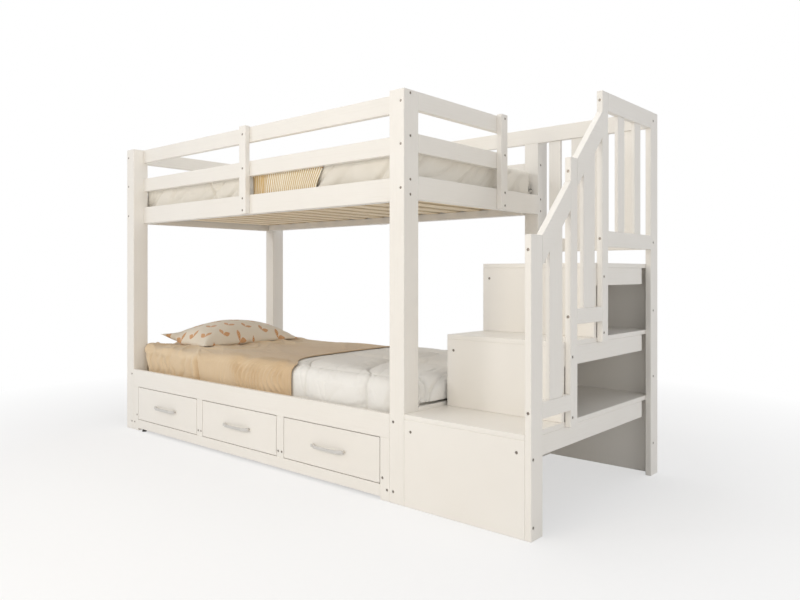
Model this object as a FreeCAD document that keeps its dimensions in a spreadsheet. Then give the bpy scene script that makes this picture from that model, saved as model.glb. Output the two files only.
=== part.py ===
import FreeCAD, Part
import math
import os
import re
import Sketcher

# Bunk bed with storage stairs.
# All places are measured from the front left corner of the bed at floor level:
# x runs along the bed to the stairs, y from the front to the wall, z up.
# The origin is moved to the middle of the whole footprint when a piece is placed.

SIZES = {
    # bed frame
    "bed_length": 2048,
    "bed_depth": 1058,
    "bed_height": 1550,
    "post_width": 73,
    "post_depth": 84,
    "board_thickness": 25,
    "edge_ease": 1.5,
    # upper bunk
    "side_rail_width": 90,
    "guard_rail_width": 71,
    "guard_rail_gap": 89,
    "side_rail_gap": 88,
    "upright_width": 49,
    "upright_shift": 8,
    "upright_proud": 5,
    "entry_width": 306,
    # lower bunk and drawer bay
    "lower_rail_base": 230,
    "lower_rail_width": 125,
    "front_board_base": 239,
    "front_board_width": 92,
    "front_thickness": 20,
    "stile_width": 48,
    "toe_gap": 12,
    "toe_rail_width": 47,
    # slats
    "slat_count": 15,
    "slat_width": 80,
    "slat_thickness": 18,
    "upper_slat_margin": 30,
    "lower_slat_margin": 10,
    "ledger_thickness": 20,
    "upper_ledger_width": 35,
    "lower_ledger_width": 26,
    # drawers
    "drawer_count": 3,
    "front_gap": 3,
    "drawer_front_thickness": 18,
    "drawer_depth": 560,
    "drawer_side_height": 120,
    "drawer_side_thickness": 12,
    "drawer_side_gap": 4,
    "drawer_base_thickness": 5,
    "groove_depth": 5,
    "groove_lift": 8,
    "slide_gap": 0.5,
    "runner_web_height": 50,
    "runner_ledge": 20,
    "runner_ledge_height": 8,
    # drawer pulls
    "pull_reach": 28,
    "pull_span": 192,
    "pull_grip": 122,
    "pull_strip": 5,
    "pull_width": 13,
    "pull_foot_diameter": 12,
    "pull_foot_height": 8,
    # stairs
    "stair_width": 537,
    "first_tread_height": 340,
    "stair_rise": 281,
    "first_going": 247,
    "stair_going": 250,
    "panel_thickness": 18,
    "back_panel_thickness": 20,
    "stair_bed_gap": 12,
    "stair_board_width": 68,
    "stair_board_setback": 112,
    # handrail
    "rail_post_thickness": 24,
    "rail_post_width": 73,
    "baluster_post_width": 48,
    "handrail_slope": 1,
    "slope_rail_width": 70,
    "post_offset": 22,
    "low_rail_width": 55,
    "low_rail_lift": 44,
    "guard_low_rail_width": 60,
    "guard_low_rail_lift": 61,
    "guard_slat_thickness": 15,
    "stair_slat_width": 87,
    "guard_slat_width": 60,
    "side_guard_slats": 2,
    "back_guard_slats": 4,
    # bolts
    "bolt_diameter": 11,
    "bolt_bore_diameter": 11.6,
    "bolt_bore_depth": 4,
    "bolt_sink": 1,
    "bolt_inset": 17,
    "bolt_edge": 13,
    "cross_bolt_inset": 37,
    "low_bolt_inset": 54,
    "post_bolt_drop": 10,
    "low_bolt_height": 43,
    "short_upright_bolt": 29,
    "back_post_bolt_lift": 82,
    "back_post_low_bolt": 136,
    # bedding
    "mattress_end_gap": 4,
    "mattress_side_gap": 11,
    "mattress_thickness": 160,
    "mattress_corner": 60,
    "mattress_edge": 16,
    "mattress_crown": 7,
    "crown_inset": 170,
    "bedding_gap": 0.4,
    "bedding_back_gap": 4,
    "bedding_side_gap": 2,
    "bedding_overlap": 1,
    "bedding_drop_depth": 44,
    "bedding_drop_height": 140,
    "blanket_thickness": 9,
    "blanket_inset": 34,
    "blanket_start": 118,
    "blanket_end": 1200,
    "blanket_front_end": 1385,
    "fold_shoulder": 22,
    "fold_belly": 75,
    "quilt_end_gap": 14,
    "quilt_foot_inset": 33,
    "quilt_loft": 30,
    "quilt_seam": 13,
    "quilt_first_seam": 1480,
    "quilt_seam_pitch": 360,
    "pillow_length": 620,
    "pillow_width": 400,
    "pillow_height": 128,
    "pillow_corner_height": 22,
    "pillow_waist": 26,
    "pillow_front_gap": 100,
    "pillow_side": 70,
    "throw_start": 1020,
    "throw_width": 505,
    "throw_thickness": 5,
    "throw_gap": 2,
    "throw_drop": 132,
}

# places worked out from the sizes
ORIGIN_X = "((bed_length + stair_width) / 2)"
ORIGIN_Y = "((bed_depth - pull_reach) / 2)"
RIGHT_POST = "(bed_length - post_width)"
BACK_POST = "(bed_depth - post_depth)"
RAIL_FRONT = "(post_depth - board_thickness)"
RAIL_SPAN = "(bed_length - 2 * post_width)"
END_SPAN = "(bed_depth - 2 * post_depth)"
RIGHT_END = "(bed_length - board_thickness)"
TOP_RAIL_BASE = "(bed_height - guard_rail_width)"
MID_RAIL_BASE = "(bed_height - 2 * guard_rail_width - guard_rail_gap)"
SIDE_RAIL_BASE = f"({MID_RAIL_BASE} - side_rail_gap - side_rail_width)"
UPRIGHT_HEIGHT = f"(bed_height + upright_proud - {SIDE_RAIL_BASE})"
SHORT_SPAN = "(bed_depth - 2 * post_depth - entry_width)"
UPPER_SLAT_BASE = f"({SIDE_RAIL_BASE} + upper_ledger_width)"
LOWER_SLAT_BASE = "(front_board_base + lower_ledger_width)"
UPPER_BED = f"({UPPER_SLAT_BASE} + slat_thickness + bedding_gap)"
LOWER_BED = f"({LOWER_SLAT_BASE} + slat_thickness + bedding_gap)"
MATTRESS_X = "(board_thickness + mattress_end_gap)"
MATTRESS_Y = "(post_depth + mattress_side_gap)"
MATTRESS_WIDTH = f"(bed_depth - 2 * {MATTRESS_Y})"
TOE_TOP = "(toe_gap + toe_rail_width)"
STILE_PITCH = "((bed_length - 2 * post_width - stile_width) / drawer_count)"
OPENING_WIDTH = "((bed_length - 2 * post_width - stile_width) / drawer_count - stile_width)"
DRAWER_WIDTH = f"({OPENING_WIDTH} - 2 * drawer_side_gap)"
DRAWER_BASE = f"({TOE_TOP} + runner_ledge_height + slide_gap)"
STAIR_LEFT = "(bed_length + stair_bed_gap)"
STAIR_RIGHT = "(bed_length + stair_width - rail_post_thickness)"
STAIR_BACK = "(bed_depth - back_panel_thickness)"
BACK_RAIL_POST = "(bed_depth - rail_post_width)"
BEDDING_TOP = f"({LOWER_BED} + mattress_thickness + bedding_gap)"
FOLD_BACK = f"({MATTRESS_Y} - bedding_side_gap)"
FOLD_FRONT = f"({FOLD_BACK} - bedding_drop_depth)"
BEDDING_DEPTH = f"({MATTRESS_WIDTH} - bedding_back_gap)"
BLANKET_FRONT = f"({FOLD_BACK} - bedding_overlap)"
QUILT_FRONT = f"({FOLD_BACK} + bedding_gap)"
SLOPE_RAIL_DEPTH = "(slope_rail_width * sqrt(1 + handrail_slope ^ 2))"

LEVELS = (1, 2, 3)
# small round pieces are many, so each is a prism of this many sides
ROUND_SIDES = 10
PILLOW_RINGS = 7
PILLOW_FULLNESS = 0.7
PILLOW_SEAM_SHARE = 0.35
PILLOW_BASE_SHARE = 0.6


def riser_front(level):
    """Front face of the riser below a tread."""
    return "0" if level == 1 else f"(first_going + {level - 2} * stair_going)"


def tread_top(level):
    """Height of a tread's upper face."""
    return f"(first_tread_height + {level - 1} * stair_rise)"


def handrail_post_front(index):
    """Front face of the handrail posts 1 to 3, the first being the newel at the foot."""
    return "0" if index == 1 else f"({riser_front(index)} + post_offset)"


def handrail_post_back(index):
    width = "rail_post_width" if index == 1 else "baluster_post_width"
    return f"({handrail_post_front(index)} + {width})"


def handrail_post_top(index):
    """The last post is as high as the bed, and each one before it a step lower."""
    return f"(bed_height - {3 - index} * stair_rise)"


def tied(expression):
    """An expression in which every size name points to its cell in the sheet."""
    return re.sub(r"\b[a-z]\w*\b(?!\()", r"Sizes.\g<0>", expression)


def write_sheet(doc):
    sheet = doc.addObject("Spreadsheet::Sheet", "Sizes")
    for row, (alias, value) in enumerate(SIZES.items(), 1):
        sheet.set(f"A{row}", alias)
        sheet.set(f"B{row}", str(value))
        sheet.setAlias(f"B{row}", alias)
    doc.recompute()
    return sheet


def place(piece, at, local=False):
    """Bind a piece's position; a local one is not moved to the common origin."""
    shift = ("0", "0", "0") if local else (ORIGIN_X, ORIGIN_Y, "0")
    for axis, value, offset in zip("xyz", at, shift):
        piece.setExpression(f"Placement.Base.{axis}", tied(f"({value}) - ({offset})"))


class Bed:
    """The document with its parts and the bolt heads gathered while boards are made."""

    def __init__(self):
        self.doc = FreeCAD.newDocument("bunk_bed")
        self.sheet = write_sheet(self.doc)
        self.nodes = []
        self.bolt_heads = []

    def size(self, alias):
        """A size as it stands in the sheet."""
        return float(self.sheet.get(alias))

    def keep(self, piece, label):
        piece.Label = label
        self.nodes.append(piece)
        return piece

    def group(self, label, pieces):
        """Alike separate pieces kept together in one node."""
        compound = self.doc.addObject("Part::Compound", "Group")
        compound.Links = pieces
        return self.keep(compound, label)

    def board(self, at, size, bolts=()):
        """A straight board with eased edges and bores for the bolts that show on it."""
        body = self.doc.addObject("PartDesign::Body", "Board")
        block = body.newObject("PartDesign::AdditiveBox", "Block")
        for side, value in zip(("Length", "Width", "Height"), size):
            block.setExpression(side, tied(value))
        ease = body.newObject("PartDesign::Chamfer", "Ease")
        ease.Base = (block, [f"Edge{number}" for number in range(1, 13)])
        ease.setExpression("Size", tied("edge_ease"))
        for face, bolt_at in bolts:
            self.bolt(body, at, face, bolt_at)
        place(body, at)
        return body

    def bolt(self, body, body_at, face, at):
        """A bore in a board and the bolt head seated in it, on a named outer face."""
        turn, inward = BOLT_FACES[face]
        bore = body.newObject("PartDesign::SubtractivePrism", "Bore")
        bore.Polygon = ROUND_SIDES
        bore.Placement.Rotation = turn
        bore.setExpression("Circumradius", tied("bolt_bore_diameter / 2"))
        bore.setExpression("Height", tied("bolt_bore_depth"))
        place(bore, [f"({a}) - ({b})" for a, b in zip(at, body_at)], local=True)
        head = self.doc.addObject("Part::Prism", "BoltHead")
        head.Polygon = ROUND_SIDES
        head.Placement.Rotation = turn
        head.setExpression("Circumradius", tied("bolt_diameter / 2"))
        head.setExpression("Height", tied("bolt_bore_depth - bolt_sink"))
        place(head, [f"({a}) + ({step}) * bolt_sink" for a, step in zip(at, inward)])
        self.bolt_heads.append(head)

    def profile(self, plane, outline, length, at, label="Profile"):
        """A closed outline of corners on a plane, extruded away from it."""
        body = self.doc.addObject("PartDesign::Body", label)
        sketch = body.newObject("Sketcher::SketchObject", "Outline")
        origin_plane = next(f for f in body.Origin.OriginFeatures if f.Role == plane)
        sketch.AttachmentSupport = [(origin_plane, "")]
        sketch.MapMode = "FlatFace"
        draw_outline(sketch, outline)
        pad = body.newObject("PartDesign::Pad", "Extrusion")
        pad.Profile = sketch
        pad.setExpression("Length", tied(length))
        place(body, at)
        return body


ALONG_Y = FreeCAD.Rotation(FreeCAD.Vector(1, 0, 0), -90)
AGAINST_X = FreeCAD.Rotation(FreeCAD.Vector(0, 1, 0), -90)
ALONG_X = FreeCAD.Rotation(FreeCAD.Vector(0, 1, 0), 90)
BOLT_FACES = {
    "front": (ALONG_Y, (0, 1, 0)),
    "right": (AGAINST_X, (-1, 0, 0)),
    "left": (ALONG_X, (1, 0, 0)),
}


def draw_outline(sketch, outline):
    """Straight lines between corners, each corner held by its two distances."""
    count = len(outline)
    guess = [FreeCAD.Vector(10.0 * number, 7.0 * number ** 2, 0) for number in range(count)]
    for number in range(count):
        sketch.addGeometry(Part.LineSegment(guess[number], guess[(number + 1) % count]))
    for number in range(count):
        here = (number, 1)
        sketch.addConstraint(Sketcher.Constraint("Coincident", (number - 1) % count, 2, *here))
    for number, corner in enumerate(outline):
        for kind, value in zip(("DistanceX", "DistanceY"), corner):
            index = sketch.addConstraint(Sketcher.Constraint(kind, -1, 1, number, 1, 1.0))
            sketch.setExpression(f"Constraints[{index}]", tied(value))


# ---- bed frame ----

def rail_bolt_heights():
    """Heights of the bolts that join the top, mid and side rails to posts and uprights."""
    return (
        "(bed_height - bolt_edge)",
        f"({MID_RAIL_BASE} + guard_rail_width - bolt_edge)",
        f"({SIDE_RAIL_BASE} + side_rail_width - bolt_inset)",
        f"({SIDE_RAIL_BASE} + bolt_inset)",
    )


def front_post_bolts(outer_x, low_x):
    """Bolts through the front of a post into the end rails and the drawer bay."""
    centres = (
        f"({TOP_RAIL_BASE} + guard_rail_width / 2 - post_bolt_drop)",
        f"({MID_RAIL_BASE} + guard_rail_width / 2 - post_bolt_drop)",
        f"({SIDE_RAIL_BASE} + side_rail_width / 2 - post_bolt_drop / 2)",
    )
    upper = [("front", (outer_x, "0", z)) for z in centres]
    lower = [
        ("front", (low_x, "0", "(front_board_base + front_board_width - 2 * bolt_edge)")),
        ("front", (low_x, "0", "low_bolt_height")),
    ]
    return upper + lower


def add_posts(bed):
    size = ("post_width", "post_depth", "bed_height")
    sides = {"left": "0", "right": "bed_length"}
    for side, corner in (("left", "0"), ("right", RIGHT_POST)):
        sign = "+" if side == "left" else "-"
        outer_x = f"({sides[side]} {sign} bolt_inset)"
        low_x = f"({sides[side]} {sign} low_bolt_inset)"
        cross = [
            (side, (sides[side], "cross_bolt_inset", z)) for z in rail_bolt_heights()
        ]
        bolts = front_post_bolts(outer_x, low_x) + cross
        bed.keep(bed.board((corner, "0", "0"), size, bolts), f"post_front_{side}")
        back = [
            (side, (sides[side], f"({BACK_POST} + cross_bolt_inset - bolt_edge)", z))
            for z in rail_bolt_heights()[1:]
        ]
        post = bed.board((corner, BACK_POST, "0"), size, back)
        notch = post.newObject("PartDesign::SubtractiveBox", "RailNotch")
        notch.setExpression("Length", tied("post_width"))
        notch.setExpression("Width", tied("board_thickness"))
        notch.setExpression("Height", tied("guard_rail_width"))
        place(notch, ("0", "0", "bed_height - guard_rail_width"), local=True)
        bed.keep(post, f"post_back_{side}")


RAIL_ROWS = {
    "low": (SIDE_RAIL_BASE, "side_rail_width"),
    "mid": (MID_RAIL_BASE, "guard_rail_width"),
    "top": (TOP_RAIL_BASE, "guard_rail_width"),
}


def add_upper_rails(bed):
    for row, (base, width) in RAIL_ROWS.items():
        long_rail = (RAIL_SPAN, "board_thickness", width)
        bed.keep(bed.board(("post_width", RAIL_FRONT, base), long_rail), f"upper_front_rail_{row}")
        if row != "top":
            bed.keep(bed.board(("post_width", BACK_POST, base), long_rail), f"upper_back_rail_{row}")
        left = ("board_thickness", END_SPAN, width)
        bed.keep(bed.board(("0", "post_depth", base), left), f"upper_left_rail_{row}")
        reach = END_SPAN if row == "low" else SHORT_SPAN
        right = ("board_thickness", reach, width)
        bed.keep(bed.board((RIGHT_END, "post_depth", base), right), f"upper_right_rail_{row}")
    back_top = ("bed_length + stair_width - rail_post_thickness", "board_thickness", "guard_rail_width")
    bed.keep(bed.board(("0", BACK_POST, TOP_RAIL_BASE), back_top), "back_top_rail")


def add_uprights(bed):
    """The boards that tie the guard rails to the side rails, outside the rails."""
    centre = "(bed_length / 2 - upright_shift)"
    left_edge = f"({centre} - upright_width / 2)"
    flat = ("upright_width", "board_thickness", UPRIGHT_HEIGHT)
    front_y = f"({RAIL_FRONT} - board_thickness)"
    heights = rail_bolt_heights()
    rail_centres = [f"({base} + guard_rail_width / 2)" for base in (TOP_RAIL_BASE, MID_RAIL_BASE)]
    front_bolts = [("front", (centre, front_y, z)) for z in rail_centres + list(heights[2:])]
    front = bed.board((left_edge, front_y, SIDE_RAIL_BASE), flat, front_bolts)
    below_top_rail = ("upright_width", "board_thickness", f"{TOP_RAIL_BASE} - {SIDE_RAIL_BASE}")
    back_y = f"({BACK_POST} + board_thickness)"
    back = bed.board((left_edge, back_y, SIDE_RAIL_BASE), below_top_rail)
    short_y = f"({BACK_POST} - entry_width - upright_width)"
    outer_x = "(bed_length + board_thickness)"
    right_bolts = [("right", (outer_x, f"({short_y} + short_upright_bolt)", z)) for z in heights]
    right_size = ("board_thickness", "upright_width", UPRIGHT_HEIGHT)
    right = bed.board(("bed_length", short_y, SIDE_RAIL_BASE), right_size, right_bolts)
    bed.group("guard_uprights", [front, back, right])


def slat_row(bed, first_x, span, y, width, z):
    """Slats spread evenly over a span, each across the bed."""
    pieces = []
    count = SIZES["slat_count"]
    for number in range(count):
        x = f"({first_x} + {number} * ({span} - slat_width) / (slat_count - 1))"
        pieces.append(bed.board((x, y, z), ("slat_width", width, "slat_thickness")))
    return pieces


def add_slats(bed):
    upper_first = "(board_thickness + upper_slat_margin)"
    upper_span = "(bed_length - 2 * board_thickness - 2 * upper_slat_margin)"
    upper = slat_row(bed, upper_first, upper_span, "post_depth", END_SPAN, UPPER_SLAT_BASE)
    bed.group("upper_slats", upper)
    lower_first = "(post_width + lower_slat_margin)"
    lower_span = f"({RAIL_SPAN} - 2 * lower_slat_margin)"
    lower_width = f"({BACK_POST} - front_thickness)"
    lower = slat_row(bed, lower_first, lower_span, "front_thickness", lower_width, LOWER_SLAT_BASE)
    bed.group("lower_slats", lower)


def add_ledgers(bed):
    """Strips along the inside of the side rails that carry the slats."""
    upper = (RAIL_SPAN, "ledger_thickness", "upper_ledger_width")
    lower = (RAIL_SPAN, "ledger_thickness", "lower_ledger_width")
    back_y = f"({BACK_POST} - ledger_thickness)"
    bed.group("slat_ledgers", [
        bed.board(("post_width", "post_depth", SIDE_RAIL_BASE), upper),
        bed.board(("post_width", back_y, SIDE_RAIL_BASE), upper),
        bed.board(("post_width", "front_thickness", "front_board_base"), lower),
        bed.board(("post_width", back_y, "front_board_base"), lower),
    ])


def add_lower_bunk(bed):
    front = (RAIL_SPAN, "front_thickness", "front_board_width")
    bed.keep(bed.board(("post_width", "0", "front_board_base"), front), "lower_front_board")
    back = (RAIL_SPAN, "board_thickness", "lower_rail_width")
    bed.keep(bed.board(("post_width", BACK_POST, "lower_rail_base"), back), "lower_back_rail")
    end = ("board_thickness", END_SPAN, "lower_rail_width")
    bed.keep(bed.board(("0", "post_depth", "lower_rail_base"), end), "lower_left_rail")
    bed.keep(bed.board((RIGHT_END, "post_depth", "lower_rail_base"), end), "lower_right_rail")


# ---- drawer bay ----

def stile_x(index):
    """Left edge of the stile at the left of a drawer opening."""
    return f"(post_width + {index} * {STILE_PITCH})"


def stile_bolts(index):
    """Two bolts side by side on a middle stile; one high and one low on an end stile."""
    left = f"({stile_x(index)} + stile_width / 4)"
    right = f"({stile_x(index)} + stile_width * 3 / 4)"
    high = f"({TOE_TOP} + 2 * bolt_edge)"
    last = SIZES["drawer_count"]
    heights = {0: ("low_bolt_height", high), last: (high, "low_bolt_height")}.get(index, (high, high))
    return [("front", (x, "0", z)) for x, z in zip((left, right), heights)]


def add_drawer_bay(bed):
    """Stiles between the drawer openings, and the toe rails below them."""
    last = SIZES["drawer_count"]
    stiles = []
    for index in range(last + 1):
        base = "0" if index in (0, last) else TOE_TOP
        size = ("stile_width", "front_thickness", f"(front_board_base - {base})")
        stiles.append(bed.board((stile_x(index), "0", base), size, stile_bolts(index)))
    bed.group("drawer_stiles", stiles)
    between = f"({RAIL_SPAN} - 2 * stile_width)"
    toe = (between, "front_thickness", "toe_rail_width")
    bed.keep(bed.board(("post_width + stile_width", "0", "toe_gap"), toe), "drawer_toe_rail")
    back_toe = (RAIL_SPAN, "board_thickness", "toe_rail_width + runner_web_height")
    bed.keep(bed.board(("post_width", BACK_POST, "toe_gap"), back_toe), "back_toe_rail")


def add_runners(bed):
    """A runner behind each stile: an upright web with ledges that the drawer sides slide on."""
    last = SIZES["drawer_count"]
    length = f"({BACK_POST} - front_thickness)"
    runners = []
    for index in range(last + 1):
        left_ledge = "0" if index == 0 else "runner_ledge"
        right_ledge = "0" if index == last else "runner_ledge"
        web_left = left_ledge
        web_right = f"({left_ledge} + stile_width)"
        outer_right = f"({left_ledge} + stile_width + {right_ledge})"
        outline = [("0", "0"), (outer_right, "0"), (outer_right, "runner_ledge_height")]
        if index != last:
            outline.append((web_right, "runner_ledge_height"))
        outline += [(web_right, "runner_web_height"), (web_left, "runner_web_height")]
        if index != 0:
            outline += [(web_left, "runner_ledge_height"), ("0", "runner_ledge_height")]
        if index == last:
            outline.remove((outer_right, "runner_ledge_height"))
        at = (f"({stile_x(index)} - {left_ledge})", f"(front_thickness + {length})", TOE_TOP)
        runners.append(bed.profile("XZ_Plane", outline, length, at, "Runner"))
    bed.group("drawer_runners", runners)


def add_drawer(bed, number):
    opening_x = f"({stile_x(number - 1)} + stile_width)"
    front_size = (
        f"({OPENING_WIDTH} - 2 * front_gap)",
        "drawer_front_thickness",
        f"(front_board_base - {TOE_TOP} - 2 * front_gap)",
    )
    front_at = (f"({opening_x} + front_gap)", "0", f"({TOE_TOP} + front_gap)")
    bed.keep(bed.board(front_at, front_size), f"drawer_{number}_front")
    add_drawer_box(bed, number, f"({opening_x} + drawer_side_gap)")
    add_pull(bed, number, f"({opening_x} + {OPENING_WIDTH} / 2)")


def grooved(bed, at, size, groove_at, groove_size):
    """A drawer side with the groove that holds the drawer's base."""
    side = bed.board(at, size)
    groove = side.newObject("PartDesign::SubtractiveBox", "Groove")
    for name, value in zip(("Length", "Width", "Height"), groove_size):
        groove.setExpression(name, tied(value))
    place(groove, groove_at, local=True)
    return side


def add_drawer_box(bed, number, x):
    """Two sides, two ends and a thin base let into grooves."""
    y = "drawer_front_thickness"
    wall = "drawer_side_thickness"
    inner = f"({DRAWER_WIDTH} - 2 * {wall})"
    side = (wall, "drawer_depth", "drawer_side_height")
    side_groove = ("groove_depth", "drawer_depth", "drawer_base_thickness")
    end = (inner, wall, "drawer_side_height")
    end_groove = (inner, "groove_depth", "drawer_base_thickness")
    right_x = f"({x} + {DRAWER_WIDTH} - {wall})"
    inner_x = f"({x} + {wall})"
    back_y = f"({y} + drawer_depth - {wall})"
    groove_near = f"({wall} - groove_depth)"
    base_z = f"({DRAWER_BASE} + groove_lift)"
    base_at = (f"({inner_x} - groove_depth)", f"({y} + {groove_near})", base_z)
    base_size = (
        f"({inner} + 2 * groove_depth)",
        f"(drawer_depth - 2 * {groove_near})",
        "drawer_base_thickness",
    )
    bed.group(f"drawer_{number}_box", [
        grooved(bed, (x, y, DRAWER_BASE), side, (groove_near, "0", "groove_lift"), side_groove),
        grooved(bed, (right_x, y, DRAWER_BASE), side, ("0", "0", "groove_lift"), side_groove),
        grooved(bed, (inner_x, y, DRAWER_BASE), end, ("0", groove_near, "groove_lift"), end_groove),
        grooved(bed, (inner_x, back_y, DRAWER_BASE), end, ("0", "0", "groove_lift"), end_groove),
        plain_box(bed, base_at, base_size),
    ])


def plain_box(bed, at, size):
    box = bed.doc.addObject("Part::Box", "Panel")
    for name, value in zip(("Length", "Width", "Height"), size):
        box.setExpression(name, tied(value))
    place(box, at)
    return box


def add_pull(bed, number, centre_x):
    """A bent strip, straight in the middle and slanting back at its ends, on two round feet."""
    middle_z = f"(({TOE_TOP} + front_board_base) / 2)"
    left, strip = f"({centre_x} - pull_span / 2)", "pull_strip"
    end = "(pull_reach - pull_foot_height)"
    shoulder = "((pull_span - pull_grip) / 2)"
    half = [
        ("0", end),
        ("0", f"({end} - {strip})"),
        (f"(pull_foot_diameter - 0.4 * {strip})", f"({end} - {strip})"),
        (shoulder, "0"),
        (f"({shoulder} + 0.4 * {strip})", strip),
        ("pull_foot_diameter", end),
    ]
    outer, inner = half[:4], half[4:]
    mirrored = [(f"(pull_span - {x})", y) for x, y in outer[::-1]]
    mirrored += [(f"(pull_span - {x})", y) for x, y in inner[::-1]]
    outline = outer + mirrored + inner
    at = (left, "-pull_reach", f"({middle_z} - pull_width / 2)")
    bar = bed.profile("XY_Plane", outline, "pull_width", at, "Strip")
    feet = []
    for sign, foot_x in (("+", left), ("-", f"({centre_x} + pull_span / 2)")):
        foot = bed.doc.addObject("Part::Prism", "Foot")
        foot.Polygon = ROUND_SIDES
        foot.Placement.Rotation = ALONG_Y
        foot.setExpression("Circumradius", tied("pull_foot_diameter / 2"))
        foot.setExpression("Height", tied("pull_foot_height"))
        place(foot, (f"({foot_x} {sign} pull_foot_diameter / 2)", "-pull_foot_height", middle_z))
        feet.append(foot)
    pull = bed.doc.addObject("Part::MultiFuse", "Pull")
    pull.Shapes = [bar] + feet
    bed.keep(pull, f"drawer_{number}_pull")


# ---- stairs ----

def add_steps(bed):
    """Risers and treads, each tread running back under the steps above as a shelf."""
    inset = "(bolt_inset + bolt_edge - stair_bed_gap)"
    for level in LEVELS:
        left = "bed_length" if level == 1 else STAIR_LEFT
        width = f"({STAIR_RIGHT} - {left})"
        front = riser_front(level)
        base = "0" if level == 1 else tread_top(level - 1)
        height = f"({tread_top(level)} - panel_thickness - {base})"
        bolt_z = f"({tread_top(level)} - panel_thickness - 2 * bolt_edge - bolt_inset)"
        bolts = [
            ("front", (f"({left} + {inset} + bolt_edge)", front, bolt_z)),
            ("front", (f"({STAIR_RIGHT} - {inset} - bolt_edge)", front, bolt_z)),
        ]
        riser = bed.board((left, front, base), (width, "panel_thickness", height), bolts)
        bed.keep(riser, f"stair_riser_{level}")
        tread_at = (left, front, f"({tread_top(level)} - panel_thickness)")
        tread_size = (width, f"({STAIR_BACK} - {front})", "panel_thickness")
        bed.keep(bed.board(tread_at, tread_size), f"stair_tread_{level}")


def add_stair_sides(bed):
    """Boards under the treads' open edge, and closed panels on the side of the bed."""
    boards = []
    panels = []
    for level in LEVELS:
        front = f"({riser_front(level)} + panel_thickness)"
        under = f"({tread_top(level)} - panel_thickness)"
        board_at = (f"({STAIR_RIGHT} - panel_thickness)", front, f"({under} - stair_board_width)")
        board_size = ("panel_thickness", f"(bed_depth - stair_board_setback - {front})", "stair_board_width")
        boards.append(bed.board(board_at, board_size))
        base = "0" if level == 1 else tread_top(level - 1)
        panel_size = ("panel_thickness", f"({STAIR_BACK} - {front})", f"({under} - {base})")
        panels.append(bed.board((STAIR_LEFT, front, base), panel_size))
    bed.group("stair_side_boards", boards)
    bed.group("stair_bed_side_panels", panels)
    back_size = (f"({STAIR_RIGHT} - {STAIR_LEFT})", "back_panel_thickness", tread_top(3))
    bed.keep(bed.board((STAIR_LEFT, STAIR_BACK, "0"), back_size), "stair_back_panel")


def low_rail_base(section):
    """Underside of the low rail in handrail section 1 or 2, or in the landing guard, 3."""
    lift = "low_rail_lift" if section == 1 else "guard_low_rail_lift"
    return f"({tread_top(section)} + {lift})"


def add_stair_posts(bed):
    outer = "(bed_length + stair_width)"
    thickness = "rail_post_thickness"
    mid_x = f"({STAIR_RIGHT} + {thickness} / 2)"
    low_mid = [f"({low_rail_base(1)} + low_rail_width / 2)", f"({low_rail_base(2)} + low_rail_width / 2)"]
    slope_mid = f"({SLOPE_RAIL_DEPTH} / 2)"
    under_board = f"({tread_top(1)} - panel_thickness - stair_board_width)"
    newel_bolts = [
        ("front", (mid_x, "0", f"({handrail_post_top(1)} - {slope_mid})")),
        ("front", (mid_x, "0", low_mid[0])),
        ("right", (outer, "bolt_edge", "low_bolt_height")),
        ("right", (outer, "bolt_edge", f"({under_board} + bolt_inset / 2)")),
    ]
    newel_size = (thickness, "rail_post_width", handrail_post_top(1))
    bed.keep(bed.board((STAIR_RIGHT, "0", "0"), newel_size, newel_bolts), "stair_front_post")
    names = {2: "handrail_mid_post", 3: "handrail_top_post"}
    fronts = {
        2: (f"({handrail_post_top(2)} - {slope_mid})", low_mid[1]),
        3: (f"({TOP_RAIL_BASE} + guard_rail_width / 2)", f"({low_rail_base(3)} + guard_low_rail_width / 2)"),
    }
    for index, name in names.items():
        front = handrail_post_front(index)
        base = f"({tread_top(index - 1)} - panel_thickness)"
        side_y = f"({front} + bolt_edge)"
        board_mid = f"({tread_top(index)} - panel_thickness - stair_board_width / 2)"
        bolts = [("front", (mid_x, front, z)) for z in fronts[index]]
        bolts.append(("right", (outer, side_y, board_mid)))
        bolts.append(("right", (outer, side_y, f"({tread_top(index - 1)} + bolt_inset)")))
        size = (thickness, "baluster_post_width", f"({handrail_post_top(index)} - {base})")
        bed.keep(bed.board((STAIR_RIGHT, front, base), size, bolts), name)
    back_heights = (
        f"({TOP_RAIL_BASE} + guard_rail_width / 2)",
        f"({low_rail_base(3)} + guard_low_rail_width / 2)",
        f"({tread_top(2)} + back_post_bolt_lift)",
        f"({tread_top(1)} + back_post_bolt_lift)",
        "back_post_low_bolt",
    )
    back_y = f"({BACK_RAIL_POST} + 2 * bolt_edge)"
    back_bolts = [("right", (outer, back_y, z)) for z in back_heights]
    back_size = (thickness, "rail_post_width", handrail_post_top(3))
    bed.keep(bed.board((STAIR_RIGHT, BACK_RAIL_POST, "0"), back_size, back_bolts), "stair_back_post")


def slope_height(section, y):
    """Height of the sloping rail's upper edge above the floor at a distance from the front."""
    start = handrail_post_back(section)
    return f"({handrail_post_top(section)} + handrail_slope * ({y} - {start}))"


def add_handrail(bed):
    """Sloping rails between the posts, and slats that meet them on the slant."""
    rails = []
    slats = []
    for section in (1, 2):
        start = handrail_post_back(section)
        end = handrail_post_front(section + 1)
        run = f"({end} - {start})"
        foot = f"({handrail_post_top(section)} - {SLOPE_RAIL_DEPTH})"
        climb = f"(handrail_slope * {run})"
        upper_end = (run, f"({climb} + {SLOPE_RAIL_DEPTH})")
        outline = [("0", "0"), (run, climb), upper_end, ("0", SLOPE_RAIL_DEPTH)]
        at = (STAIR_RIGHT, start, foot)
        rails.append(bed.profile("YZ_Plane", outline, "rail_post_thickness", at, "SlopeRail"))
        slats.append(slanted_slat(bed, section, start, run))
    bed.group("handrail_slopes", rails)
    return slats


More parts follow.
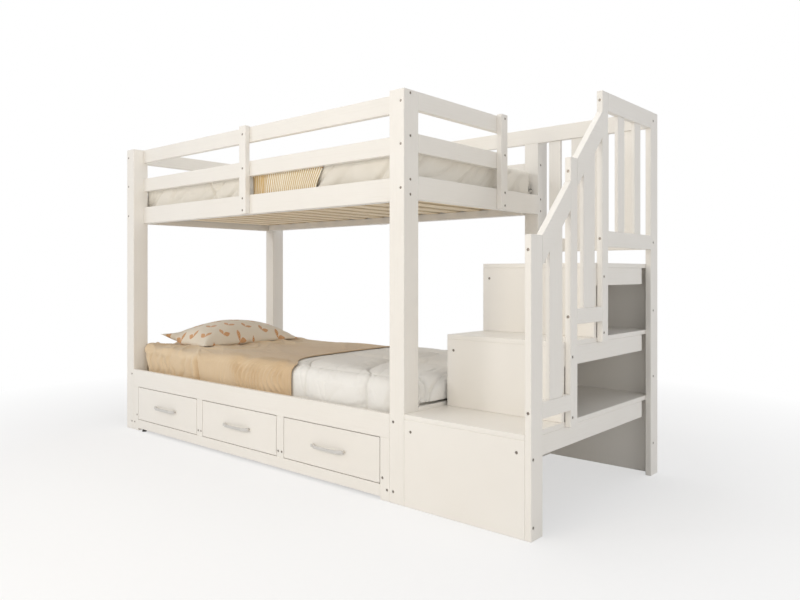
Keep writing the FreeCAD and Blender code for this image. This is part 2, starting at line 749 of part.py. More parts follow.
def slanted_slat(bed, section, start, run):
    near = f"({start} + ({run} - stair_slat_width) / 2)"
    far = f"({near} + stair_slat_width)"
    foot = f"({low_rail_base(section)} + low_rail_width)"
    tall_near = f"({slope_height(section, near)} - {SLOPE_RAIL_DEPTH} - {foot})"
    tall_far = f"({slope_height(section, far)} - {SLOPE_RAIL_DEPTH} - {foot})"
    outline = [("0", "0"), ("stair_slat_width", "0"), ("stair_slat_width", tall_far), ("0", tall_near)]
    x = f"({STAIR_RIGHT} + (rail_post_thickness - guard_slat_thickness) / 2)"
    at = (x, near, foot)
    return bed.profile("YZ_Plane", outline, "guard_slat_thickness", at, "SlantedSlat")


def add_guards(bed, slanted):
    """Low rails of the handrail, and the guards round the landing with their slats."""
    thickness = "rail_post_thickness"
    rails = []
    for section in (1, 2):
        start = handrail_post_back(section)
        run = f"({handrail_post_front(section + 1)} - {start})"
        size = (thickness, run, "low_rail_width")
        rails.append(bed.board((STAIR_RIGHT, start, low_rail_base(section)), size))
    side_start = handrail_post_back(3)
    side_run = f"({BACK_RAIL_POST} - {side_start})"
    low = low_rail_base(3)
    for base, width in ((low, "guard_low_rail_width"), (TOP_RAIL_BASE, "guard_rail_width")):
        rails.append(bed.board((STAIR_RIGHT, side_start, base), (thickness, side_run, width)))
    back_run = f"({STAIR_RIGHT} - bed_length)"
    back_low = (back_run, "board_thickness", "guard_low_rail_width")
    rails.append(bed.board(("bed_length", BACK_POST, low), back_low))
    bed.group("stair_guard_rails", rails)
    slat_base = f"({low} + guard_low_rail_width)"
    height = f"({TOP_RAIL_BASE} - {slat_base})"
    slats = list(slanted)
    for number in range(SIZES["side_guard_slats"]):
        gap = f"(({side_run} - side_guard_slats * guard_slat_width) / (side_guard_slats + 1))"
        y = f"({side_start} + {number + 1} * {gap} + {number} * guard_slat_width)"
        x = f"({STAIR_RIGHT} + ({thickness} - guard_slat_thickness) / 2)"
        size = ("guard_slat_thickness", "guard_slat_width", height)
        slats.append(bed.board((x, y, slat_base), size))
    for number in range(SIZES["back_guard_slats"]):
        gap = f"(({back_run} - back_guard_slats * guard_slat_width) / (back_guard_slats + 1))"
        x = f"(bed_length + {number + 1} * {gap} + {number} * guard_slat_width)"
        y = f"({BACK_POST} + (board_thickness - guard_slat_thickness) / 2)"
        size = ("guard_slat_width", "guard_slat_thickness", height)
        slats.append(bed.board((x, y, slat_base), size))
    bed.group("stair_guard_slats", slats)


# ---- bedding ----

def rounded_ring(length, width, inset, corner, z):
    """A rounded rectangle at a height, drawn in by an inset, from lines and quarter arcs."""
    x0, y0 = inset, inset
    x1, y1 = length - inset, width - inset
    turn = corner * (1 - 0.5 ** 0.5)
    corners = [(x1, y0, 1, -1), (x1, y1, 1, 1), (x0, y1, -1, 1), (x0, y0, -1, -1)]
    edges = []
    previous = FreeCAD.Vector(x0 + corner, y0, z)
    for number, (x, y, out_x, out_y) in enumerate(corners):
        along_x = FreeCAD.Vector(x - out_x * corner, y, z)
        along_y = FreeCAD.Vector(x, y - out_y * corner, z)
        middle = FreeCAD.Vector(x - out_x * turn, y - out_y * turn, z)
        first, last = (along_x, along_y) if number % 2 == 0 else (along_y, along_x)
        edges.append(Part.LineSegment(previous, first).toShape())
        edges.append(Part.Arc(first, middle, last).toShape())
        previous = last
    return Part.Wire(edges)


def mattress_shape(bed):
    """Upright sides, a soft upper edge and a slight crown, within the posts and end rails."""
    length = bed.size("bed_length") - 2 * (bed.size("board_thickness") + bed.size("mattress_end_gap"))
    width = bed.size("bed_depth") - 2 * (bed.size("post_depth") + bed.size("mattress_side_gap"))
    depth, edge, corner, crown = (
        bed.size(f"mattress_{name}") for name in ("thickness", "edge", "corner", "crown")
    )
    rings = [
        rounded_ring(length, width, 0, corner, 0),
        rounded_ring(length, width, 0, corner, depth - crown - edge),
        rounded_ring(length, width, edge, corner, depth - crown),
        rounded_ring(length, width, bed.size("crown_inset"), corner, depth),
    ]
    return Part.makeLoft(rings, True, True)


def channel_strip(bed, first_x, last_x):
    """Outline of a padded strip along the bed: flat on one side, an arc between seams on the other."""
    loft, seam = bed.size("quilt_loft"), bed.size("quilt_seam")
    stops = [first_x]
    cut = bed.size("quilt_first_seam")
    while cut < last_x:
        if cut > first_x:
            stops.append(cut)
        cut += bed.size("quilt_seam_pitch")
    stops.append(last_x)
    edges = []
    for start, end in zip(stops, stops[1:]):
        ends = [FreeCAD.Vector(x - first_x, seam, 0) for x in (start, end)]
        crest = FreeCAD.Vector((start + end) / 2 - first_x, loft, 0)
        edges.append(Part.Arc(ends[0], crest, ends[1]).toShape())
    span = last_x - first_x
    corners = [(span, seam), (span, 0), (0, 0), (0, seam)]
    points = [FreeCAD.Vector(x, y, 0) for x, y in corners]
    for first, last in zip(points, points[1:]):
        edges.append(Part.LineSegment(first, last).toShape())
    return Part.Wire(edges)


def add_mattresses(bed):
    for label, base in (("lower_mattress", LOWER_BED), ("upper_mattress", UPPER_BED)):
        mattress = bed.doc.addObject("Part::Feature", "Mattress")
        mattress.Shape = mattress_shape(bed)
        place(mattress, (MATTRESS_X, MATTRESS_Y, base))
        bed.keep(mattress, label)


def add_blanket(bed):
    """A blanket over the head half, with its front fold hanging inside the front board."""
    top_size = ("blanket_end - blanket_inset", BEDDING_DEPTH, "blanket_thickness")
    top = plain_box(bed, ("blanket_inset", BLANKET_FRONT, BEDDING_TOP), top_size)
    drop = "bedding_drop_depth"
    tall = "(bedding_drop_height + blanket_thickness)"
    outline = [
        ("blanket_thickness", "0"),
        (drop, "0"),
        (drop, tall),
        (f"({drop} / 2)", tall),
        ("blanket_thickness / 2", f"({tall} - fold_shoulder)"),
        ("0", "fold_belly"),
    ]
    drop_at = ("blanket_start", FOLD_FRONT, f"({BEDDING_TOP} - bedding_drop_height)")
    length = "(blanket_front_end - blanket_start)"
    fold = bed.profile("YZ_Plane", outline, length, drop_at, "BlanketFold")
    blanket = bed.doc.addObject("Part::Fuse", "Blanket")
    blanket.Base, blanket.Tool = top, fold
    bed.keep(blanket, "blanket")


def add_quilt(bed):
    """A padded quilt over the foot half, sewn across into channels, with its front edge hanging."""
    doc = bed.doc
    gap = bed.size("bedding_gap")
    mattress_front = bed.size("post_depth") + bed.size("mattress_side_gap")
    depth = bed.size("bed_depth") - 2 * mattress_front - bed.size("bedding_back_gap")
    top_start = bed.size("blanket_end") + gap
    top_end = bed.size("bed_length") - bed.size("quilt_foot_inset")
    top = doc.addObject("Part::Feature", "QuiltTop")
    top.Shape = Part.Face(channel_strip(bed, top_start, top_end)).extrude(FreeCAD.Vector(0, 0, depth))
    top.Placement.Rotation = FreeCAD.Rotation(FreeCAD.Vector(1, 0, 0), 90)
    place(top, ("(blanket_end + bedding_gap)", f"({QUILT_FRONT} + {BEDDING_DEPTH})", BEDDING_TOP))
    drop_start = bed.size("blanket_front_end") + gap
    drop_end = bed.size("bed_length") - bed.size("post_width") - bed.size("quilt_end_gap")
    drop_height = bed.size("bedding_drop_height") + bed.size("quilt_seam")
    drop = doc.addObject("Part::Feature", "QuiltDrop")
    drop_face = Part.Face(channel_strip(bed, drop_start, drop_end))
    drop.Shape = drop_face.extrude(FreeCAD.Vector(0, 0, drop_height))
    drop.Placement.Rotation = FreeCAD.Rotation(FreeCAD.Vector(1, 0, 0), 180)
    drop_y = f"({QUILT_FRONT} + bedding_overlap)"
    place(drop, ("(blanket_front_end + bedding_gap)", drop_y, f"({BEDDING_TOP} + quilt_seam)"))
    quilt = doc.addObject("Part::Fuse", "Quilt")
    quilt.Base, quilt.Tool = top, drop
    bed.keep(quilt, "quilt")


def pillow_ring(half_width, height, y):
    """A cross-section of the pillow: pressed flat below, an arc from seam to seam above."""
    seam_z = height * PILLOW_SEAM_SHARE
    base = half_width * PILLOW_BASE_SHARE
    left = FreeCAD.Vector(-half_width, y, seam_z)
    right = FreeCAD.Vector(half_width, y, seam_z)
    below = [left, FreeCAD.Vector(-base, y, 0), FreeCAD.Vector(base, y, 0), right]
    edges = [Part.LineSegment(*pair).toShape() for pair in zip(below, below[1:])]
    above = Part.Arc(right, FreeCAD.Vector(0, y, height), left)
    return Part.Wire(edges + [above.toShape()])


def add_pillow(bed):
    """Full in the middle, thin at the corners, its long sides drawn in."""
    length, width, height = (bed.size(f"pillow_{name}") for name in ("length", "width", "height"))
    corner, waist = bed.size("pillow_corner_height"), bed.size("pillow_waist")
    rings = []
    for number in range(PILLOW_RINGS):
        share = number / (PILLOW_RINGS - 1)
        swell = math.sin(math.pi * share) ** PILLOW_FULLNESS if 0 < share < 1 else 0
        half_width = width / 2 - waist * swell
        rings.append(pillow_ring(half_width, corner + (height - corner) * swell, length * share))
    pillow = bed.doc.addObject("Part::Feature", "Pillow")
    pillow.Shape = Part.makeLoft(rings, True, True)
    base = f"({BEDDING_TOP} + blanket_thickness + bedding_gap)"
    front = f"({MATTRESS_Y} + pillow_front_gap)"
    place(pillow, ("(pillow_side + pillow_width / 2)", front, base))
    bed.keep(pillow, "pillow")


def add_throw(bed):
    """A thin throw across the upper mattress, with its end hanging behind the front rails."""
    reach = "(throw_thickness + throw_gap)"
    top_z = f"({UPPER_BED} + mattress_thickness + bedding_gap)"
    front = f"({MATTRESS_Y} - {reach})"
    depth = f"({MATTRESS_WIDTH} + {reach} - mattress_edge)"
    size = ("throw_width", depth, "throw_thickness")
    top = plain_box(bed, ("throw_start", front, top_z), size)
    drop_size = ("throw_width", "throw_thickness", "(throw_drop + throw_thickness)")
    drop = plain_box(bed, ("throw_start", front, f"({top_z} - throw_drop)"), drop_size)
    throw = bed.doc.addObject("Part::Fuse", "Throw")
    throw.Base, throw.Tool = top, drop
    bed.keep(throw, "upper_throw")


# ---- whole bed ----

def faults(doc, nodes):
    """Names of objects that failed to build, and of nodes without a sound shape."""
    failed = [item.Label for item in doc.Objects if {"Invalid", "Error"} & set(item.State)]
    unsound = [node.Label for node in nodes if node.Shape.isNull() or not node.Shape.isValid()]
    return failed + unsound


def build():
    bed = Bed()
    add_posts(bed)
    add_upper_rails(bed)
    add_uprights(bed)
    add_ledgers(bed)
    add_slats(bed)
    add_lower_bunk(bed)
    add_drawer_bay(bed)
    add_runners(bed)
    for number in range(1, SIZES["drawer_count"] + 1):
        add_drawer(bed, number)
    add_steps(bed)
    add_stair_sides(bed)
    add_stair_posts(bed)
    add_guards(bed, add_handrail(bed))
    add_mattresses(bed)
    add_blanket(bed)
    add_quilt(bed)
    add_pillow(bed)
    add_throw(bed)
    bed.group("bolts", bed.bolt_heads)
    return bed


def main():
    bed = build()
    bed.doc.recompute()
    found = faults(bed.doc, bed.nodes)
    if found:
        raise RuntimeError("not built: " + ", ".join(found))
    os.makedirs("parts", exist_ok=True)
    for node in bed.nodes:
        node.Shape.exportStep(f"parts/{node.Label}.step")
    print(len(bed.nodes), "nodes written")


main()
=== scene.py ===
import math

import bmesh
import bpy
from mathutils import Euler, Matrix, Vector, noise


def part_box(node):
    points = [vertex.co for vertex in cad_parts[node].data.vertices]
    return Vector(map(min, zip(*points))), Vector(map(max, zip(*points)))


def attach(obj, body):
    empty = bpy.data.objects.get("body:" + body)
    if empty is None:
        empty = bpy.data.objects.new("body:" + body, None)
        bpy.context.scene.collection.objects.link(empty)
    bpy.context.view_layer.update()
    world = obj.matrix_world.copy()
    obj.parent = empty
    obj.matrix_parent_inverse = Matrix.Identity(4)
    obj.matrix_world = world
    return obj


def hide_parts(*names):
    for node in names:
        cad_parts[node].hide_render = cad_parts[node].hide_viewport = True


# Looks of the bunk bed. Lengths are in metres, in the frame's own axes:
# x towards the stairs, -y to the front, z up.

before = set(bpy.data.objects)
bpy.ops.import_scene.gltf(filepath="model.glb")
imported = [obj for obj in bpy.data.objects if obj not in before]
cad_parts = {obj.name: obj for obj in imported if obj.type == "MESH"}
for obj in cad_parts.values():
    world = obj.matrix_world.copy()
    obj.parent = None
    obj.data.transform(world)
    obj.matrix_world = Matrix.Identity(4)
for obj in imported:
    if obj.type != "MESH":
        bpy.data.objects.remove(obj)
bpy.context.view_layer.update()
BODY = "frame"


# ---- materials ----

class Nodes:
    """Builds up a node tree."""

    def __init__(self, tree):
        self.tree = tree

    def node(self, kind, inputs=None, **settings):
        """A new node with its settings, and its inputs joined to others or set."""
        made = self.tree.nodes.new(kind)
        for name, value in settings.items():
            setattr(made, name, value)
        for name, value in (inputs or {}).items():
            self.feed(made.inputs[name], value)
        return made

    def feed(self, target, value):
        """Joins a socket to another's output, or sets it to a plain value."""
        if isinstance(value, bpy.types.NodeSocket):
            self.tree.links.new(value, target)
        else:
            target.default_value = value

    def math(self, operation, first, second=0.0):
        return self.node("ShaderNodeMath", {0: first, 1: second}, operation=operation).outputs[0]

    def split(self, place):
        """The X, Y and Z outputs of a place."""
        return self.node("ShaderNodeSeparateXYZ", {0: place}).outputs

    def blend(self, share, first, second):
        return self.node("ShaderNodeMixShader", {0: share, 1: first, 2: second}).outputs[0]


class Shader(Nodes):
    """A material built up from textures placed in the object's own metres."""

    def __init__(self, name, roughness, metallic=0.0, sheen=0.0):
        self.material = bpy.data.materials.new(name)
        self.material.use_nodes = True
        super().__init__(self.material.node_tree)
        self.surface = self.tree.nodes["Principled BSDF"]
        self.surface.inputs["Roughness"].default_value = roughness
        self.surface.inputs["Metallic"].default_value = metallic
        self.surface.inputs["Sheen Weight"].default_value = sheen
        self.place = self.node("ShaderNodeTexCoord").outputs["Object"]
        self.normal = None

    def scaled(self, scale, place=None):
        """A place stretched by one scale for all axes, or by one for each."""
        scale = scale if isinstance(scale, tuple) else (scale,) * 3
        made = self.node("ShaderNodeMapping", {"Vector": place or self.place, "Scale": scale})
        return made.outputs["Vector"]

    def noise(self, scale, detail=3.0, roughness=0.5, place=None):
        """Noise of so many lumps a metre along each axis."""
        inputs = {"Vector": self.scaled(scale, place), "Scale": 1.0, "Detail": detail, "Roughness": roughness}
        return self.node("ShaderNodeTexNoise", inputs).outputs["Fac"]

    def wave(self, scale, axis, distortion=0.0, detail=2.0, detail_scale=1.0, place=None):
        inputs = {"Vector": self.scaled(scale, place), "Scale": 1.0, "Distortion": distortion,
                  "Detail": detail, "Detail Scale": detail_scale}
        made = self.node("ShaderNodeTexWave", inputs, wave_type="BANDS", bands_direction=axis)
        return made.outputs["Fac"]

    def span(self, value, low, high, new_low=0.0, new_high=1.0):
        """A value moved from one range to another and held inside it."""
        inputs = {0: value, 1: low, 2: high, 3: new_low, 4: new_high}
        return self.node("ShaderNodeMapRange", inputs).outputs[0]

    def joined(self, x, y):
        return self.node("ShaderNodeCombineXYZ", {0: x, 1: y}).outputs[0]

    def mix(self, share, first, second):
        made = self.node("ShaderNodeMix", {"Factor": share, 6: first, 7: second}, data_type="RGBA")
        return made.outputs[2]

    def color(self, value):
        self.feed(self.surface.inputs["Base Color"], value)

    def rough(self, value):
        self.feed(self.surface.inputs["Roughness"], value)

    def bump(self, height, depth):
        """Raises the surface by a height between 0 and 1 times a depth in metres."""
        made = self.node("ShaderNodeBump", {"Distance": depth, "Height": height})
        if self.normal is not None:
            self.feed(made.inputs["Normal"], self.normal)
        self.normal = made.outputs["Normal"]
        self.feed(self.surface.inputs["Normal"], self.normal)

    def rounded(self, radius):
        """Softens sharp edges in shading."""
        self.normal = self.node("ShaderNodeBevel", {"Radius": radius}, samples=4).outputs["Normal"]
        self.feed(self.surface.inputs["Normal"], self.normal)

    def edge_share(self, radius):
        """1 on worn edges and 0 on flats, from how far the rounded normal turns."""
        soft = self.node("ShaderNodeBevel", {"Radius": radius}, samples=4).outputs["Normal"]
        flat = self.node("ShaderNodeNewGeometry").outputs["Normal"]
        turn = self.node("ShaderNodeVectorMath", {0: soft, 1: flat}, operation="DOT_PRODUCT")
        return self.span(turn.outputs["Value"], 0.99, 0.8)


def bands(pitch):
    """Scale at which a wave texture's stripes are this many metres apart."""
    return math.pi / 10 / pitch


def grain_scale(axis, across, along):
    """Lumps a metre for grain that runs along an axis."""
    return tuple(along if name == axis else across for name in "xyz")


PAINT = (0.865, 0.835, 0.785, 1)
PAINT_THIN = (0.80, 0.755, 0.69, 1)
PAINT_EDGE = (0.89, 0.865, 0.825, 1)
WEAR_REACH = 0.0025
WEAR_SHARE = 0.5
PAINTED_EDGE = 0.0015


def worn_edges(shader, tone):
    """Lighter paint where edges are rubbed."""
    worn = shader.math("MULTIPLY", shader.edge_share(WEAR_REACH), WEAR_SHARE)
    shader.color(shader.mix(worn, tone, PAINT_EDGE))


def painted_wood(axis):
    """White satin paint over solid wood: faint grain along the board, brush marks and soft edges."""
    shader = Shader(f"painted_wood_{axis}", 0.42)
    grain = shader.noise(grain_scale(axis, 240.0, 7.0), detail=5.0, roughness=0.6)
    brush = shader.noise(grain_scale(axis, 700.0, 20.0), detail=2.0)
    patches = shader.noise(3.0, detail=2.0)
    thin = shader.math("MULTIPLY", shader.span(grain, 0.5, 0.75), 0.35)
    tone = shader.mix(thin, PAINT, PAINT_THIN)
    tone = shader.mix(shader.span(patches, 0.35, 0.75, 0.0, 0.3), tone, PAINT_THIN)
    worn_edges(shader, tone)
    shader.rough(shader.span(brush, 0.2, 0.8, 0.36, 0.5))
    shader.rounded(PAINTED_EDGE)
    shader.bump(grain, 0.0005)
    shader.bump(brush, 0.00012)
    return shader.material


def painted_panel():
    """White paint rolled on smooth board, with the roller's fine stipple."""
    shader = Shader("painted_panel", 0.4)
    stipple = shader.noise(900.0, detail=2.0)
    waves = shader.noise(14.0, detail=2.0)
    patches = shader.noise(2.5, detail=2.0)
    tone = shader.mix(shader.span(patches, 0.35, 0.75, 0.0, 0.35), PAINT, PAINT_THIN)
    worn_edges(shader, tone)
    shader.rough(shader.span(waves, 0.3, 0.7, 0.34, 0.46))
    shader.rounded(PAINTED_EDGE)
    shader.bump(waves, 0.0006)
    shader.bump(stipple, 0.00015)
    return shader.material


def bare_pine(axis, name, light, dark, knot):
    """Planed softwood: wavering year rings, fine pores and a knot here and there."""
    shader = Shader(name, 0.6)
    rings = shader.wave(grain_scale(axis, 34.0, 1.6), "DIAGONAL", distortion=5.0, detail=3.0)
    pores = shader.noise(grain_scale(axis, 500.0, 16.0), detail=4.0)
    slow = shader.noise(5.0, detail=2.0)
    tone = shader.mix(shader.span(rings, 0.2, 0.95), light, dark)
    tone = shader.mix(shader.span(slow, 0.35, 0.7, 0.0, 0.45), tone, dark)
    cells = shader.scaled(grain_scale(axis, 9.0, 4.0))
    spots = shader.node("ShaderNodeTexVoronoi", {"Vector": cells, "Scale": 1.0})
    knots = shader.span(spots.outputs["Distance"], 0.10, 0.04)
    tone = shader.mix(knots, tone, knot)
    tone = shader.mix(shader.span(pores, 0.55, 0.8, 0.0, 0.3), tone, dark)
    shader.color(tone)
    shader.rough(shader.span(pores, 0.3, 0.7, 0.5, 0.7))
    shader.rounded(0.001)
    shader.bump(rings, 0.0002)
    shader.bump(pores, 0.0003)
    return shader.material


def brushed_nickel():
    """Satin nickel, brushed along the pull."""
    shader = Shader("brushed_nickel", 0.3, metallic=1.0)
    strokes = shader.noise(grain_scale("x", 2600.0, 40.0), detail=3.0)
    cloud = shader.noise(60.0, detail=2.0)
    tone = shader.mix(strokes, (0.60, 0.58, 0.55, 1), (0.74, 0.72, 0.69, 1))
    shader.color(shader.mix(shader.span(cloud, 0.3, 0.7, 0.0, 0.4), tone, (0.56, 0.54, 0.50, 1)))
    shader.rough(shader.span(strokes, 0.2, 0.8, 0.24, 0.42))
    shader.rounded(0.001)
    shader.bump(strokes, 0.00006)
    return shader.material


def bolt_steel():
    """Zinc-plated steel, dull, darker where dirt sits."""
    shader = Shader("bolt_steel", 0.38, metallic=1.0)
    cloud = shader.noise(700.0, detail=3.0)
    shader.color(shader.mix(cloud, (0.22, 0.19, 0.165, 1), (0.40, 0.36, 0.32, 1)))
    shader.rough(shader.span(cloud, 0.2, 0.8, 0.3, 0.5))
    shader.bump(cloud, 0.00004)
    return shader.material


def black_plastic():
    """Moulded glide, matte black with a fine spark-eroded grain."""
    shader = Shader("black_plastic", 0.6)
    grain = shader.noise(1500.0, detail=2.0)
    shader.color(shader.mix(grain, (0.015, 0.014, 0.013, 1), (0.035, 0.032, 0.03, 1)))
    shader.bump(grain, 0.0001)
    return shader.material


def weave(shader, place, pitch, depth):
    """The over and under of plain cloth with so many metres between threads."""
    warp = shader.wave(bands(pitch), "X", distortion=0.8, place=place)
    weft = shader.wave(bands(pitch), "Y", distortion=0.8, place=place)
    threads = shader.math("MAXIMUM", warp, weft)
    shader.bump(threads, depth)
    return threads


def cloth(name, light, dark, pitch, sheen=0.25, depth=0.0002):
    """Plain woven cloth with slubs and slow changes of tone. Cloth coordinates come from its map."""
    shader = Shader(name, 0.85, sheen=sheen)
    place = shader.node("ShaderNodeUVMap").outputs["UV"]
    threads = weave(shader, place, pitch, depth)
    slubs = shader.noise((60.0, 900.0, 1.0), detail=3.0, place=place)
    slow = shader.noise((4.0, 4.0, 1.0), detail=3.0, place=place)
    tone = shader.mix(shader.span(slow, 0.3, 0.7), light, dark)
    tone = shader.mix(shader.span(threads, 0.9, 0.2, 0.0, 0.25), tone, dark)
    shader.tone = shader.mix(shader.span(slubs, 0.55, 0.8, 0.0, 0.3), tone, dark)
    shader.cloth_place = place
    shader.color(shader.tone)
    shader.bump(slubs, depth)
    return shader


CAMEL_PAINTED_SHADE = (0.62, 0.43, 0.24, 1)
PAINTED_SHADE_FROM = 0.55


def wool():
    """Camel wool, darker towards the foot by painted shade."""
    light, dark = (0.80, 0.64, 0.44, 1), (0.70, 0.52, 0.32, 1)
    shader = cloth("blanket_wool", light, dark, 0.0018, sheen=0.3, depth=0.0003)
    low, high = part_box("blanket")
    along_bed = shader.split(shader.cloth_place)["X"]
    # painted light and shade: the wool is mixed towards a deeper camel from the middle of the bed to the foot
    # end
    painted_shade = shader.span(along_bed, low.x + PAINTED_SHADE_FROM, high.x, 0.0, 0.7)
    shader.color(shader.mix(painted_shade, shader.tone, CAMEL_PAINTED_SHADE))
    return shader.material


MUSTARD = (0.60, 0.36, 0.09, 1)
PAINTED_FOLD_GOLD = (0.66, 0.43, 0.15, 1)
PAINTED_CORNER_BROWN = (0.42, 0.20, 0.05, 1)
STRIPE_PITCH = 0.015
PAINTED_FOLD_BAND = 0.13
PAINTED_FOLD_FADE = 0.04
PAINTED_CORNER_INSET = 0.005
PAINTED_CORNER_REACH = 0.036
PAINTED_CORNER_FADE = 0.006


def straw_stripes():
    """A loose weave: mustard stripes on cream, painted fold shade as a golden band on the left, a painted
    shadow as a dark spot on the right.
    """
    shader = cloth("throw_weave", (0.96, 0.91, 0.78, 1), (0.92, 0.84, 0.65, 1), 0.0022, depth=0.0004)
    place = shader.cloth_place
    low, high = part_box("upper_throw")
    stripe = shader.wave(bands(STRIPE_PITCH), "X", distortion=2.4, detail_scale=0.6, place=place)
    bold = shader.noise((9.0, 3.0, 1.0), place=place)
    share = shader.math("MULTIPLY", shader.span(stripe, 0.5, 0.72), shader.span(bold, 0.3, 0.6, 0.6, 1.0))
    tone = shader.mix(share, shader.tone, MUSTARD)
    # painted shade: the folds at the left end are given a golden-brown tone in streaks
    painted_fold_streaks = shader.noise((70.0, 6.0, 1.0), place=place)
    edge = shader.span(shader.split(place)["X"], low.x + PAINTED_FOLD_BAND, low.x + PAINTED_FOLD_BAND - PAINTED_FOLD_FADE)
    edge = shader.math("MULTIPLY", edge, shader.span(painted_fold_streaks, 0.35, 0.65, 0.1, 0.9))
    tone = shader.mix(edge, tone, PAINTED_FOLD_GOLD)
    # painted shadow: a dark brown patch at the top right corner, just under the rail, stands for the shade of
    # a fold there
    lie = shader.split(shader.place)
    below = shader.math("SUBTRACT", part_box("upper_front_rail_mid")[0].z + 0.015, lie["Z"])
    inside = shader.math("SUBTRACT", high.x - PAINTED_CORNER_INSET, lie["X"])
    away = shader.math("ADD", inside, shader.math("ABSOLUTE", below))
    corner = shader.span(away, PAINTED_CORNER_REACH, PAINTED_CORNER_REACH - PAINTED_CORNER_FADE)
    shader.color(shader.mix(corner, tone, PAINTED_CORNER_BROWN))
    shader.bump(stripe, 0.0015)
    return shader.material


LEAF_LEAN = math.radians(50)
PRINT_TURN = math.radians(41)
PAIR_PITCH = 0.19
ROW_PITCH = 0.056
LEAF_LENGTH = 0.052
LEAF_WIDTH = 0.0125


def sprigs(shader):
    """1 inside pairs of leaves that open in a V, set in staggered rows over the cloth."""
    inputs = {"Vector": shader.cloth_place, "Angle": -PRINT_TURN}
    turned = shader.node("ShaderNodeVectorRotate", inputs, rotation_type="Z_AXIS")
    parts = shader.split(turned.outputs[0])
    row = shader.math("DIVIDE", parts["Y"], ROW_PITCH)
    odd = shader.math("FLOORED_MODULO", shader.math("FLOOR", row), 2.0)
    column = shader.math("DIVIDE", parts["X"], PAIR_PITCH)
    column = shader.math("ADD", column, shader.math("MULTIPLY", odd, 0.5))
    across = shader.math("SUBTRACT", shader.math("FRACT", column), 0.5)
    side = shader.math("ABSOLUTE", shader.math("MULTIPLY", across, PAIR_PITCH))
    up = shader.math("SUBTRACT", shader.math("FRACT", row), 0.12)
    up = shader.math("MULTIPLY", up, ROW_PITCH)
    rise, run = math.sin(LEAF_LEAN), math.cos(LEAF_LEAN)
    along = shader.math("ADD", shader.math("MULTIPLY", side, run), shader.math("MULTIPLY", up, rise))
    off = shader.math("SUBTRACT", shader.math("MULTIPLY", up, run), shader.math("MULTIPLY", side, rise))
    share = shader.span(along, 0.0, LEAF_LENGTH)
    belly = shader.math("SINE", shader.math("MULTIPLY", share, math.pi))
    far = shader.math("ABSOLUTE", off)
    gap = shader.math("SUBTRACT", shader.math("MULTIPLY", belly, LEAF_WIDTH), far)
    slant = shader.math("SUBTRACT", along, far)
    ribs = shader.wave(bands(LEAF_LENGTH / 6), "X", place=shader.joined(slant, far))
    return shader.math("MULTIPLY", shader.span(gap, 0.0, 0.0015), shader.span(ribs, 0.1, 0.4, 0.35, 1.0))


def printed_linen():
    """Cream linen with a rust-coloured leaf print."""
    shader = cloth("pillow_linen", (0.90, 0.83, 0.72, 1), (0.84, 0.75, 0.62, 1), 0.0012)
    print_share = sprigs(shader)
    fade = shader.noise((300.0, 300.0, 1.0), detail=3.0, place=shader.cloth_place)
    ink = shader.mix(fade, (0.60, 0.23, 0.04, 1), (0.70, 0.33, 0.08, 1))
    shader.color(shader.mix(print_share, shader.tone, ink))
    return shader.material


# ---- cloth shapes ----

def smooth(value, low, high):
    """0 below low, 1 above high, with an easy change between."""
    share = min(1.0, max(0.0, (value - low) / (high - low)))
    return share * share * (3 - 2 * share)


def lumps(x, y, seed):
    """Slow noise between about -1 and 1."""
    return noise.noise(Vector((x, y, seed)))


def ridges(x, y, seed):
    """Noise with sharp creases at 1 and broad hollows near 0."""
    return 1 - min(1.0, abs(lumps(x, y, seed)) * 2.5)


def past_edge(distance, radius):
    """How far out and how far down cloth reaches that runs this distance past the start of a bend."""
    if distance <= 0:
        return distance, 0.0
    quarter = radius * math.pi / 2
    if distance < quarter:
        angle = distance / radius
        return radius * math.sin(angle), radius * (1 - math.cos(angle))
    return radius, radius + distance - quarter


class Cover:
    """Cloth laid over a box and bent down over its sides.

    A point of the cloth is named by where it would lie flat, and gets its draped place."""

    def __init__(self, low, high, top, radius, corner):
        self.low, self.high, self.top = low, high, top
        self.radius, self.corner = radius, corner

    def over(self, value, axis):
        low, high = self.low[axis] + self.radius, self.high[axis] - self.radius
        if value < low:
            out, down = past_edge(low - value, self.radius)
            return low - out, down
        if value > high:
            out, down = past_edge(value - high, self.radius)
            return high + out, down
        return value, 0.0

    def place(self, across, along):
        x, down_x = self.over(across, 0)
        y, down_y = self.over(along, 1)
        x, y = self.round_corner(x, y)
        down = (down_x ** 4 + down_y ** 4) ** 0.25
        return Vector((x, y, self.top - down))

    def round_corner(self, x, y):
        """Draws the upright corners in to an arc."""
        inner_x = min(max(x, self.low[0] + self.corner), self.high[0] - self.corner)
        inner_y = min(max(y, self.low[1] + self.corner), self.high[1] - self.corner)
        away = math.hypot(x - inner_x, y - inner_y)
        if x == inner_x or y == inner_y or away <= self.corner:
            return x, y
        pull = self.corner / away
        return inner_x + (x - inner_x) * pull, inner_y + (y - inner_y) * pull

    def flat_end(self, axis, side, drop):
        """Flat coordinate at which cloth hangs this far below the top."""
        reach = drop - self.radius + self.radius * math.pi / 2
        if side < 0:
            return self.low[axis] + self.radius - reach
        return self.high[axis] - self.radius + reach


def spread(start, end, count):
    return [start + (end - start) * number / count for number in range(count + 1)]


def steps(start, end, pitch):
    return spread(start, end, max(2, round(abs(end - start) / pitch)))


